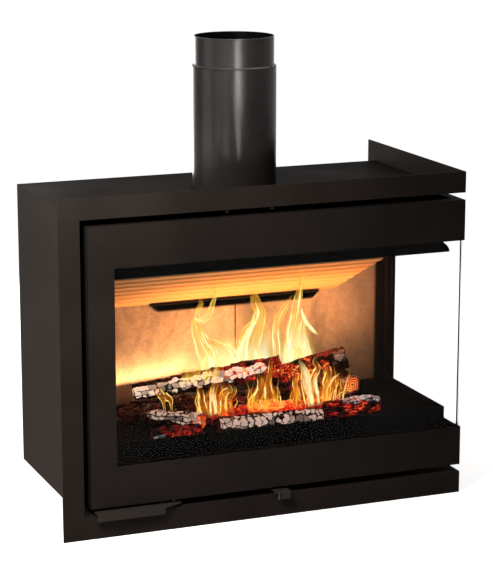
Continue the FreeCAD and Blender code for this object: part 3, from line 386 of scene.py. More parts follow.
def seenDirectly(tree):
    # 1 for what the camera sees, also in gloss and through glass, and 0 for light that falls on the object
    ray = addNode(tree, "LightPath").outputs
    mirrored = maths(tree, "MAXIMUM", ray["Is Glossy Ray"], ray["Is Transmission Ray"])
    seen = maths(tree, "MAXIMUM", ray["Is Camera Ray"], mirrored)
    return times(tree, seen, maths(tree, "LESS_THAN", ray["Diffuse Depth"], 0.5))


def makeStage():
    world = bpy.data.worlds.new("studioWorld")
    bpy.context.scene.world = world
    world.use_nodes = True
    tree = world.node_tree
    back = tree.nodes["Background"]
    back.inputs["Color"].default_value = (1, 1, 1, 1)
    strength = spread(tree, seenDirectly(tree), 0.0, 1.0, stageSettings["ambient"], 1.0)
    feed(tree, strength, back.inputs["Strength"])

    half = stageSettings["floorSize"] / 2
    corners = [(-half, -half, 0), (half, -half, 0), (half, half, 0), (-half, half, 0)]
    mesh = bpy.data.meshes.new("studioFloor")
    mesh.from_pydata(corners, [], [(0, 1, 2, 3)])
    floor = bpy.data.objects.new("studioFloor", mesh)
    bpy.context.collection.objects.link(floor)
    material, tree, shader = startMaterial("studioFloor", Roughness=0.9, Specular_IOR_Level=0.0,
                                           Emission_Color=(1, 1, 1, 1))
    blotches = cloud(tree, objectPlace(tree), scale=stageSettings["floorBlotches"])
    colour = mixColour(tree, blotches, stageSettings["floorColour"], stageSettings["floorPale"])
    feed(tree, colour, shader.inputs["Base Color"])
    away = addNode(tree, "VectorMath", {0: objectPlace(tree)}, operation="LENGTH").outputs["Value"]
    lift = spread(tree, away, *stageSettings["liftReach"], *stageSettings["floorLift"])
    feed(tree, times(tree, seenDirectly(tree), lift), shader.inputs["Emission Strength"])
    mesh.materials.append(material)


makeStage()
print("floor and background made")


# Finishes of the steel, lining, glass and small pieces

paintSettings = {
    # name: colour, roughness, gloss level, blotch, edge wear, dust, strength of the grain
    "casingPaint": ((0.024, 0.0195, 0.0170, 1), 0.55, 0.004, 0.16, 0.15, 0.01, 0.08),
    # the top panel has the casing paint made darker: painted shade on the top
    "topPaintShaded": ((0.017, 0.0140, 0.0124, 1), 0.55, 0.004, 0.16, 0.15, 0.01, 0.08),
    "doorPaint": ((0.021, 0.0175, 0.0155, 1), 0.55, 0.004, 0.14, 0.15, 0.03, 0.08),
    "fireboxPaint": ((0.0055, 0.0050, 0.0046, 1), 0.62, 0.005, 0.25, 0.06, 0.02, 0.02),
    "handlePaint": ((0.038, 0.033, 0.029, 1), 0.42, 0.02, 0.16, 0.30, 0.05, 0.08),
}
paintMarks = {
    "rubbed": (0.11, 0.10, 0.095, 1),
    "dustAndHighlight": (0.20, 0.18, 0.16, 1),
    "grainDepth": 0.0004,
}


def makePaint(name):
    colour, rough, gloss, blotch, wear, dustAndHighlight, grain = paintSettings[name]
    material, tree, shader = startMaterial(name, Specular_IOR_Level=gloss)
    coat = useGroup(tree, paintGrain, Colour=colour, Blotch=blotch, Rough=rough)
    edge = useGroup(tree, edgeWear, Amount=wear)
    upFacing = useGroup(tree, upDustAndHighlight, Amount=dustAndHighlight)
    rubbed = mixColour(tree, edge["Mask"], coat["Colour"], paintMarks["rubbed"])
    feed(tree, mixColour(tree, upFacing["Mask"], rubbed, paintMarks["dustAndHighlight"]), shader.inputs["Base Color"])
    feed(tree, coat["Rough"], shader.inputs["Roughness"])
    bumpInto(tree, shader, coat["Height"], grain, paintMarks["grainDepth"], edge["Normal"])
    return material


flueSettings = {
    "colour": (0.0038, 0.0035, 0.0033, 1),
    "footLight": (0.0185, 0.0168, 0.0158, 1),    # painted light: paler towards the foot, where the casing keeps the lamps off the pipe
    "footLightHeights": (0.95, 0.80),            # from none to all
    "rubbed": (0.16, 0.16, 0.16, 1),
    # painted highlight on the faces that look up, such as the step in the pipe
    "dustAndHighlight": (0.20, 0.19, 0.18, 1),
    "highlightAmount": 0.8,
    "dustAndHighlightScale": 14.0,
    "rough": 0.24,
    "gloss": 0.055,
    "blotch": 0.12,
    "grain": 1300.0,
    "wear": 0.3,
    "wearRadius": 0.001,
    "lineScale": 260.0,
    "lineStretch": (1.0, 1.0, 0.03),
    "lineRough": 0.08,
    "bump": (0.06, 0.0004),                  # strength and depth
}


def makeFluePaint():
    # rolled sheet: faint lines along the pipe under satin paint, with painted light that makes it paler
    # towards the foot and a painted highlight on the faces that look up
    material, tree, shader = startMaterial("fluePaint", Specular_IOR_Level=flueSettings["gloss"])
    coat = useGroup(tree, paintGrain, Colour=flueSettings["colour"], Blotch=flueSettings["blotch"],
                    Rough=flueSettings["rough"], Grain=flueSettings["grain"])
    lines = cloud(tree, objectPlace(tree, flueSettings["lineStretch"]), scale=flueSettings["lineScale"],
                  detail=3.0)
    # painted light: the colour goes paler towards the pipe's foot
    footLit = spread(tree, axesOf(tree, objectPlace(tree))["Z"], *flueSettings["footLightHeights"])
    footLitColour = mixColour(tree, footLit, coat["Colour"], flueSettings["footLight"])
    edge = useGroup(tree, edgeWear, Amount=flueSettings["wear"], Radius=flueSettings["wearRadius"])
    rubbed = mixColour(tree, edge["Mask"], footLitColour, flueSettings["rubbed"])
    # painted highlight where the pipe's faces look up
    upFacing = useGroup(tree, upDustAndHighlight, Amount=flueSettings["highlightAmount"], Scale=flueSettings["dustAndHighlightScale"])
    feed(tree, mixColour(tree, upFacing["Mask"], rubbed, flueSettings["dustAndHighlight"]), shader.inputs["Base Color"])
    feed(tree, scaleAdd(tree, lines, flueSettings["lineRough"], coat["Rough"]), shader.inputs["Roughness"])
    bumpInto(tree, shader, maths(tree, "ADD", coat["Height"], lines), *flueSettings["bump"])
    return material


liningSettings = {
    # name: colour, darker flecks, soot, marbling
    "backLining": ((0.57, 0.45, 0.36, 1), (0.33, 0.27, 0.23, 1), 0.70, 0.65),
    "sideLining": ((0.54, 0.42, 0.32, 1), (0.34, 0.26, 0.20, 1), 0.55, 0.60),
    "baffleLining": ((0.72, 0.43, 0.19, 1), (0.58, 0.34, 0.14, 1), 0.06, 0.25),
}
boardSettings = {
    "gloss": 0.2,
    "flakeScale": 260.0,
    "flakeRange": (0.55, 1.0),               # tone of the flakes that are darker
    "flakeDark": (0.0, 0.55),                # and how much darker
    "flakeRough": (0.7, 0.95),
    "flakeRelief": 0.6,
    "pitScale": 420.0,
    "marbleScale": 22.0,
    "marbleRange": (0.42, 0.72),
    "hazeScale": 6.0,
    "haze": (0.16, 0.14, 0.13, 1),
    "smoked": (0.20, 0.18, 0.17, 1),         # the back wall's right end
    "smokedReach": (0.24, 0.46),             # from its start to its most
    "smokedMost": 0.45,
    "creases": 0.85,
    # colour of the dark joints and of the painted shade in the grooves
    "joint": (0.05, 0.034, 0.022, 1),
    "bump": (0.35, 0.0006),                  # strength and depth
}
liningJoints = {
    "seam": 0.0715,                          # where the two back slabs meet
    "seamHalf": 0.0011,
    "seamRim": 2,                            # in half widths
    "baffleFront": -0.1475,
    "baffleDeep": 0.2842,
    "ribs": 7,
    "ribLine": 0.70,                         # share of a rib at which its painted line of groove shade runs
    "ribHalf": 0.10,
    "ribRim": 1.6,
    "ribShade": 0.85,
}
# painted shadow of the logs on the wall behind the embers: it comes in and goes out along the wall, and with
# height
emberWallShade = {"left": (-0.10, -0.01), "right": (0.20, 0.12), "height": (0.268, 0.236), "sootAndShade": 0.93,
            "colour": (0.012, 0.010, 0.009, 1)}


def jointMask(tree, name, where):
    # dark where the two back slabs meet, and painted shade along the ribs' grooves under the baffle
    place = axesOf(tree, where)
    if name == "backLining":
        half = liningJoints["seamHalf"]
        off = maths(tree, "ABSOLUTE", maths(tree, "SUBTRACT", place["X"], liningJoints["seam"]))
        return spread(tree, off, liningJoints["seamRim"] * half, half)
    # painted shade: a dark line along each rib's groove
    half = liningJoints["ribHalf"]
    deep = maths(tree, "SUBTRACT", place["Y"], liningJoints["baffleFront"])
    share = maths(tree, "DIVIDE", deep, liningJoints["baffleDeep"])
    inRib = maths(tree, "FRACT", times(tree, share, liningJoints["ribs"]))
    off = maths(tree, "ABSOLUTE", maths(tree, "SUBTRACT", inRib, liningJoints["ribLine"]))
    return spread(tree, off, liningJoints["ribRim"] * half, half, 0.0, liningJoints["ribShade"])


def smokeAndShadeBackWall(tree, where, body):
    # the back wall is smoked at its right end, and a painted shadow of the logs makes it black behind the
    # embers
    place = axesOf(tree, where)
    smoked = spread(tree, place["X"], *boardSettings["smokedReach"], 0.0, boardSettings["smokedMost"])
    body = mixColour(tree, smoked, body, boardSettings["smoked"])
    # painted shadow of the logs behind the embers
    black = times(tree, spread(tree, place["X"], *emberWallShade["left"], 0.0, emberWallShade["sootAndShade"]),
                  spread(tree, place["X"], *emberWallShade["right"]))
    black = times(tree, black, spread(tree, place["Z"], *emberWallShade["height"]))
    return mixColour(tree, black, body, emberWallShade["colour"])


def makeLining(name):
    # pressed mineral board: flakes, pits, marbling, soot clouds, dark joints, and painted shade in its
    # grooves
    colour, fleck, sootAndShade, marbling = liningSettings[name]
    material, tree, shader = startMaterial(name, Specular_IOR_Level=boardSettings["gloss"])
    where = objectPlace(tree)
    flakes = addNode(tree, "TexVoronoi", {"Vector": where, "Scale": boardSettings["flakeScale"]},
                     feature="F1")
    flakeTone = addNode(tree, "SeparateColor", {0: flakes.outputs["Color"]}).outputs[0]
    pits = cloud(tree, where, scale=boardSettings["pitScale"], detail=3.0)
    marbled = cloud(tree, where, scale=boardSettings["marbleScale"], detail=8.0, rough=0.65, bend=1.2)
    darker = spread(tree, flakeTone, *boardSettings["flakeRange"], *boardSettings["flakeDark"])
    veined = spread(tree, marbled, *boardSettings["marbleRange"], 0.0, marbling)
    body = mixColour(tree, veined, mixColour(tree, darker, colour, fleck), fleck)
    haze = useGroup(tree, sootHaze, Amount=sootAndShade, Scale=boardSettings["hazeScale"])
    body = mixColour(tree, haze["Mask"], body, boardSettings["haze"])
    if name == "backLining":
        body = smokeAndShadeBackWall(tree, where, body)
    # painted shade in the board's grooves and joints
    dark = useGroup(tree, creaseShade, Amount=boardSettings["creases"])["Mask"]
    if name != "sideLining":
        dark = maths(tree, "MAXIMUM", dark, jointMask(tree, name, where))
    feed(tree, mixColour(tree, dark, body, boardSettings["joint"]), shader.inputs["Base Color"])
    feed(tree, spread(tree, flakeTone, 0.0, 1.0, *boardSettings["flakeRough"]), shader.inputs["Roughness"])
    relief = maths(tree, "ADD", pits, times(tree, flakeTone, boardSettings["flakeRelief"]))
    bumpInto(tree, shader, relief, *boardSettings["bump"])
    return material


glassSettings = {
    "bending": 1.09,                         # index of refraction: low, so that the panes mirror little
    "tint": (0.996, 0.996, 0.995, 1),
    "clear": (1, 1, 1, 1),
    "smearScale": 9.0,
    "smearStretch": (1.0, 1.0, 0.35),
    "smearRange": (0.62, 0.85),
    "smearRough": (0.0, 0.05),
}


def makeGlass():
    # clear ceramic glass with the faintest wiped smears
    material, tree, shader = startMaterial("fireGlass", Transmission_Weight=1.0, IOR=glassSettings["bending"])
    smears = cloud(tree, objectPlace(tree, glassSettings["smearStretch"]), scale=glassSettings["smearScale"],
                   detail=6.0, rough=0.6, bend=1.5)
    colour = mixColour(tree, smears, glassSettings["tint"], glassSettings["clear"])
    feed(tree, colour, shader.inputs["Base Color"])
    dull = spread(tree, smears, *glassSettings["smearRange"], *glassSettings["smearRough"])
    feed(tree, dull, shader.inputs["Roughness"])
    return material


metalSettings = {
    # name: colour, metallic, roughness, scratch stretch, dust
    "zincSteel": ((0.52, 0.52, 0.50, 1), 1.0, 0.34, (1.0, 1.0, 0.08), 0.25),
    "bushBrass": ((0.62, 0.46, 0.20, 1), 1.0, 0.32, (1.0, 1.0, 0.1), 0.25),
    "darkSteel": ((0.060, 0.056, 0.052, 1), 1.0, 0.40, (1.0, 1.0, 0.1), 0.15),
    "nozzleSteel": ((0.030, 0.026, 0.022, 1), 0.0, 0.55, (0.05, 1.0, 1.0), 0.03),
    "castHearth": ((0.0030, 0.0028, 0.0026, 1), 0.0, 0.75, (1.0, 1.0, 1.0), 0.03),
}
metalMarks = {
    "brightGloss": 0.5,
    "brightRubbed": (0.7, 0.68, 0.64, 1),    # worn edges of bright metal
    "blackGloss": 0.01,
    "blackRubbed": (0.05, 0.045, 0.04, 1),   # and of blackened metal
    "dustAndHighlight": (0.07, 0.06, 0.055, 1),
    "dustAndHighlightScale": 14.0,
    "scratchScale": 420.0,
    "scratchRough": 0.2,
    "blotch": 0.2,
    "grain": 300.0,
    "wear": 0.5,
    "wearRadius": 0.001,
    "bump": (0.18, 0.0005),                  # strength and depth
}


def makeMetal(name):
    colour, metallic, rough, stretch, dustAndHighlight = metalSettings[name]
    kind = "bright" if metallic else "black"
    material, tree, shader = startMaterial(name, Metallic=metallic,
                                           Specular_IOR_Level=metalMarks[kind + "Gloss"])
    lines = cloud(tree, objectPlace(tree, stretch), scale=metalMarks["scratchScale"], detail=4.0, rough=0.6)
    coat = useGroup(tree, paintGrain, Colour=colour, Blotch=metalMarks["blotch"], Rough=rough,
                    Grain=metalMarks["grain"])
    edge = useGroup(tree, edgeWear, Amount=metalMarks["wear"], Radius=metalMarks["wearRadius"])
    upFacing = useGroup(tree, upDustAndHighlight, Amount=dustAndHighlight, Scale=metalMarks["dustAndHighlightScale"])
    rubbed = mixColour(tree, edge["Mask"], coat["Colour"], metalMarks[kind + "Rubbed"])
    feed(tree, mixColour(tree, upFacing["Mask"], rubbed, metalMarks["dustAndHighlight"]), shader.inputs["Base Color"])
    feed(tree, scaleAdd(tree, lines, metalMarks["scratchRough"], coat["Rough"]), shader.inputs["Roughness"])
    bumpInto(tree, shader, maths(tree, "ADD", lines, coat["Height"]), *metalMarks["bump"])
    return material


ropeSettings = {
    "deep": (0.025, 0.025, 0.025, 1),
    "pale": (0.16, 0.155, 0.15, 1),
    "strandScale": 150.0,
    "strandBend": 2.0,
    "fuzzScale": 700.0,
    "bump": (0.7, 0.001),                    # strength and depth
}


def makeSealRope():
    # knitted glass-fibre rope: slanting strands with fuzz on them
    material, tree, shader = startMaterial("sealRope", Roughness=0.95, Specular_IOR_Level=0.1)
    where = objectPlace(tree)
    strands = addNode(tree, "TexWave", {"Vector": where, "Scale": ropeSettings["strandScale"],
                                        "Distortion": ropeSettings["strandBend"]}, bands_direction="DIAGONAL")
    weave = times(tree, strands.outputs["Fac"], cloud(tree, where, scale=ropeSettings["fuzzScale"]))
    colour = mixColour(tree, weave, ropeSettings["deep"], ropeSettings["pale"])
    feed(tree, colour, shader.inputs["Base Color"])
    bumpInto(tree, shader, weave, *ropeSettings["bump"])
    return material


sealantSettings = {
    "dark": (0.010, 0.010, 0.010, 1),
    "pale": (0.022, 0.021, 0.020, 1),
    "scale": 180.0,
    "range": (0.3, 0.7),
    "rough": (0.4, 0.6),
    "bump": (0.2, 0.0005),                   # strength and depth
}


def makeSealant():
    material, tree, shader = startMaterial("cornerSealant", Specular_IOR_Level=0.3)
    uneven = cloud(tree, objectPlace(tree), scale=sealantSettings["scale"])
    colour = mixColour(tree, uneven, sealantSettings["dark"], sealantSettings["pale"])
    feed(tree, colour, shader.inputs["Base Color"])
    rough = spread(tree, uneven, *sealantSettings["range"], *sealantSettings["rough"])
    feed(tree, rough, shader.inputs["Roughness"])
    bumpInto(tree, shader, uneven, *sealantSettings["bump"])
    return material


finishes = {
    makePaint("casingPaint"): """trim_frame casing_left_panel casing_back_panel casing_base_panel
        casing_right_return hinge_column""",
    makePaint("topPaintShaded"): "casing_top_panel",
    makePaint("doorPaint"): "door_frame door_inner_panel glass_retainers",
    makePaint("fireboxPaint"): """firebox_left_wall firebox_back_wall firebox_rear_post firebox_roof
        firebox_floor firebox_left_jamb firebox_sill firebox_header air_box slide_guides air_wash_deflector
        secondary_air_duct air_inlet_spigot upper_deflector flue_collar air_slide_plate""",
    makePaint("handlePaint"): "handle_lever air_knob air_slide_arm",
    makeFluePaint(): "flue_pipe",
    makeLining("backLining"): "lining_back_left lining_back_right",
    makeLining("sideLining"): "lining_left",
    makeLining("baffleLining"): "baffle_slab",
    makeGlass(): "front_glass side_glass",
    makeMetal("zincSteel"): """levelling_feet foot_nuts collar_bolts hinge_brackets hinge_pins
        retainer_screws catch_keeper""",
    makeMetal("darkSteel"): "handle_spindle spindle_nut knob_stud",
    makeMetal("nozzleSteel"): "secondary_air_nozzle",
    makeMetal("bushBrass"): "hinge_bushes hinge_washer handle_bush",
    makeMetal("castHearth"): "hearth_plate",
    makeSealRope(): "door_rope_seal",
    makeSealant(): "glass_corner_seal",
}
for finish, names in finishes.items():
    for nodeName in names.split():
        nodes[nodeName].material_slots[0].material = finish
print("finishes on:", sum(len(names.split()) for names in finishes.values()), "nodes")


# The logs: split, charred and checked into blocks

logSection = [(-0.32, -0.5), (0.3, -0.5), (0.5, -0.22), (0.5, 0.18), (0.26, 0.5), (-0.2, 0.5), (-0.5, 0.24),
              (-0.5, -0.2)]
logSettings = {
    # lie: length, width, middle, turn and tilt in degrees
    # thin: width of its left end as a share of the right end's
    # block: length and height of the char blocks, half width and depth of the cracks, how many stay shut
    # ash: how much, its lowest angle at the left and the right end, its highest angle (0 front, 90 up),
    #      and the share of the length where it starts and ends
    # hot: how hot, and the share of the length where the glow starts and ends
    # endHot: glow of the right end; rim: pale ash round that end
    # pale: colour of its ash, and the painted light that makes that ash shine by itself
    "log_round": {"lie": (0.1200, 0.0480, (0.3098, 0.0299, 0.2304), -82.5, 0.0), "thin": 1.0,
                  "block": (0.030, 0.016, 0.0014, 0.0026, 0.2), "ash": (0.8, 50, 20, 150, 0.90, 1.2),
                  "hot": (0.5, 0.8, 1.2), "endHot": 1.55, "rim": 0.8,
                  "pale": ((0.62, 0.42, 0.38, 1), (0.16, 0.08, 0.07, 1)), "seed": 3},
    "log_left": {"lie": (0.1360, 0.0380, (-0.1640, -0.0810, 0.2092), -36.2, 0.0), "thin": 0.9,
                 "block": (0.015, 0.012, 0.0017, 0.0040, -0.15), "ash": (1.0, 0, -30, 115, -0.1, 0.97),
                 "hot": (0.9, 0.86, 1.2), "endHot": 0.9,
                 "pale": ((0.76, 0.62, 0.52, 1), (0.46, 0.33, 0.25, 1)), "seed": 7},
    "log_front": {"lie": (0.2560, 0.0400, (0.0360, -0.1810, 0.2102), -3.5, 0.0), "thin": 1.0,
                  "block": (0.022, 0.034, 0.0020, 0.0046, -0.5), "ash": (1.0, -16, -14, 82, -0.1, 1.1),
                  "hot": (0.3, -0.2, 0.08), "endHot": 0.2,
                  "pale": ((0.86, 0.66, 0.58, 1), (0.58, 0.38, 0.31, 1)), "seed": 11},
    "log_top": {"lie": (0.3660, 0.0560, (-0.0430, 0.0350, 0.2643), -17.6, 9.5), "thin": 0.74,
                "block": (0.020, 0.020, 0.0017, 0.0044, -0.12), "ash": (1.0, -36, 4, 50, -0.1, 0.88),
                "hot": (1.0, 0.62, 1.2), "endHot": 0.75,
                "pale": ((0.86, 0.70, 0.60, 1), (0.88, 0.64, 0.47, 1)), "seed": 5},
    "log_right": {"lie": (0.2190, 0.0560, (0.2155, 0.0375, 0.2635), -14.0, 15.0), "thin": 0.95,
                  "block": (0.034, 0.018, 0.0015, 0.0034, 0.0), "ash": (0.75, -10, 0, 70, 0.84, 1.2),
                  "hot": (1.6, 0.22, 0.80), "endHot": 0.2,
                  "pale": ((0.56, 0.47, 0.42, 1), (0.14, 0.09, 0.07, 1)), "seed": 13},
    "chunk_left": {"lie": (0.1180, 0.0380, (-0.2050, -0.1940, 0.2092), -4.0, 0.0), "thin": 0.9,
                   "block": (0.014, 0.009, 0.0016, 0.0036, 0.0), "ash": (0.9, -60, -80, 0, -0.2, 0.20),
                   "hot": (0.80, 0.20, 1.2), "endHot": 0.8,
                   "pale": ((0.60, 0.58, 0.58, 1), (0.10, 0.10, 0.10, 1)), "seed": 17},
    "chunk_right": {"lie": (0.1460, 0.0420, (0.2620, -0.1430, 0.2112), 5.5, 0.0), "thin": 1.0,
                    "block": (0.014, 0.009, 0.0014, 0.0036, -0.2), "ash": (1.0, 60, 30, 150, 0.34, 1.2),
                    "hot": (0.84, -0.2, 1.2), "endHot": 0.45,
                    "pale": ((0.80, 0.72, 0.70, 1), (0.42, 0.35, 0.34, 1)), "seed": 19},
    "chunk_middle": {"lie": (0.1500, 0.0480, (0.1400, -0.0320, 0.2304), 2.0, 0.0), "thin": 1.0,
                     "block": (0.028, 0.014, 0.0012, 0.0030, 0.0), "ash": (0.3, 20, 20, 60, 0.1, 0.6),
                     "hot": (0.8, 0.55, 1.2), "endHot": 0.4,
                     "pale": ((0.30, 0.27, 0.26, 1), (0.03, 0.02, 0.02, 1)), "seed": 23},
}
meshStep = 0.0017     # spacing of a log's points


def sectionRadius(angle):
    # how far the split log's outline reaches in a direction, for a log one unit wide
    way = Vector((math.cos(angle), math.sin(angle)))
    reach = 1.0
    for index, corner in enumerate(logSection):
        start = Vector(corner)
        along = Vector(logSection[(index + 1) % len(logSection)]) - start
        out = Vector((along.y, -along.x)).normalized()
        facing = out.dot(way)
        if facing > 1e-6:
            reach = min(reach, out.dot(start) / facing)
    return reach


def smoothShare(low, high, number):
    share = min(max((number - low) / (high - low), 0.0), 1.0)
    return share * share * (3 - 2 * share)


drawWeights = (12.9898, 78.233, 37.719)
drawGain = 43758.5453


def draw(*keys):
    # a steady number from 0 to 1 for a row, a block or a log
    return (math.sin(sum(key * weight for key, weight in zip(keys, drawWeights))) * drawGain) % 1.0


def rugged(place, layers, shift=(0, 0, 0)):
    # layered noise, each layer twice as fine as the one before
    return noise.fractal(place + Vector(shift), 1.0, 2.0, layers)


blockSettings = {
    "outline": 0.92,             # length of the split outline against a circle's
    "rowSway": (26, 0.5),        # scale and size of the waves in the rows of blocks
    "columnJog": (55, 0.5),      # and in the blocks' ends
    "lengths": (0.6, 0.9),       # a block's least length, and what its draw adds
    "shutScale": 24,             # some cracks stay shut
    "shutGap": 0.012,            # how wide a shut crack counts as
    "rowShut": (0.0, 0.5),
    "columnShut": (0.1, 0.6),
    "crumbs": (160, 0.6),        # scale and size of the crumbs along a crack
    "crackEdge": (0.4, 2.0),     # bottom and rim of a crack, in half widths
}


def charBlocks(spot, angle, width, block, seed):
    # 0 in a crack and 1 on a block, and the block's tone
    blockLength, blockHeight, crackHalf, _, shutShare = block
    swayScale, swaySize = blockSettings["rowSway"]
    jogScale, jogSize = blockSettings["columnJog"]
    least, more = blockSettings["lengths"]
    crumbScale, crumbSize = blockSettings["crumbs"]
    bottom, rim = blockSettings["crackEdge"]
    rows = max(4, round(math.pi * width * blockSettings["outline"] / blockHeight))
    around = angle / (2 * math.pi) * rows + 0.5 + swaySize * rugged(spot * swayScale, 3, (seed, 0, 0))
    row = math.floor(around)
    rowGap = min(around - row, row + 1 - around) * blockHeight
    row %= rows
    length = blockLength * (least + more * draw(row, seed))
    along = spot.x / length + draw(row, seed, 3) * 3 + jogSize * rugged(spot * jogScale, 3, (0, seed, 0))
    column = math.floor(along)
    columnGap = min(along - column, column + 1 - along) * length
    tone = draw(row, column, seed)
    shut = noise.noise(spot * blockSettings["shutScale"] + Vector((0, 0, seed))) + shutShare
    rowGap += blockSettings["shutGap"] * smoothShare(*blockSettings["rowShut"], shut)
    shut += 0.5 * (tone - 0.5)
    columnGap += blockSettings["shutGap"] * smoothShare(*blockSettings["columnShut"], shut)
    nearest = 2 * rowGap * columnGap / (rowGap + columnGap + 1e-9)        # rounds the blocks' corners
    ragged = 1 + crumbSize * rugged(spot * crumbScale, 2)
    return smoothShare(crackHalf * bottom, crackHalf * rim, nearest * ragged), tone


endSettings = {
    "splits": 7,
    "stray": 0.7,                # how far a split strays from its even place
    "starts": (0.3, 0.3),        # share of the radius where a split starts: least, and what its draw adds
    "closing": 0.25,             # how fast it closes inside that
    "edge": (0.01, 0.09),        # bottom and rim of a split
    "rings": 30,                 # dark and pale growth rings
    "ringTone": (0.55, 0.4),
    "chip": 0.006,               # how far chips, crumbs, doming and splits move the end
    "chipScale": (1.7, 9),       # round the end and by place
    "crumb": 0.0006,
    "dome": 0.003,
    "split": 0.0025,
    "heat": (0.6, 0.4),          # least share of the end's glow, and what its patches add
    "farHeat": 0.1,              # glow of the left end against the log's own
    "rimAsh": (0.84, 0.93),      # share of the radius where pale ash starts and is full
}


def endChecks(angle, scale, seed):
    # radial splits in a sawn end
    splits = endSettings["splits"]
    least, more = endSettings["starts"]
    gap = 1.0
    for split in range(splits):
        there = 2 * math.pi * (split + endSettings["stray"] * draw(split, seed)) / splits
        off = abs((angle - there + math.pi) % (2 * math.pi) - math.pi) * scale
        gap = min(gap, off + endSettings["closing"] * max(0.0, least + more * draw(split, seed, 2) - scale))
    return smoothShare(*endSettings["edge"], gap)


ashSettings = {
    "ragScale": 42,              # the noise that makes its rims ragged
    "ragAngle": 24,              # how far it moves them round the log, in degrees
    "ragLength": 0.10,           # and along it, as a share
    "softAngle": 9,              # half width of a rim round the log
    "softLength": 0.06,          # and along it
}


def ashCover(spot, way, share, settings):
    # how much ash lies at a point: between two angles round the log and along part of its length
    amount, lowLeft, lowRight, high, start, end = settings["ash"]
    turn, reach = ashSettings["softAngle"], ashSettings["softLength"]
    ragged = rugged(spot * ashSettings["ragScale"], 4, (settings["seed"], 3, 8))
    angle = math.degrees(math.atan2(way.z, -way.y)) + ashSettings["ragAngle"] * ragged
    where = share + ashSettings["ragLength"] * ragged
    low = lowLeft + (lowRight - lowLeft) * share
    band = smoothShare(low - turn, low + turn, angle) * smoothShare(high + turn, high - turn, angle)
    begun = smoothShare(start - reach, start + reach, where)
    return amount * band * begun * smoothShare(end + reach, end - reach, where)


flankSettings = {
    "lumpScale": 38,             # noise of lumps, crumbs and hot patches
    "crumbScale": 210,
    "patchScale": 34,
    "patchRange": (-0.35, 0.30),
    "lump": 0.0030,              # how far lumps, crumbs and a block's tone push the surface
    "crumb": 0.0008,
    "block": 0.0026,
    "levelTone": 0.6,            # a block of this tone isn't pushed
    "inset": 0.0012,
    "warmEdge": (0.10, 0.05),    # outer and inner reach of the glow's ends, as a share of the length
    "softCorners": 3,            # points each side over which the outline's corners are rounded
    "pinch": (0.12, 10),         # how much the ends are rounded off, and how suddenly
}


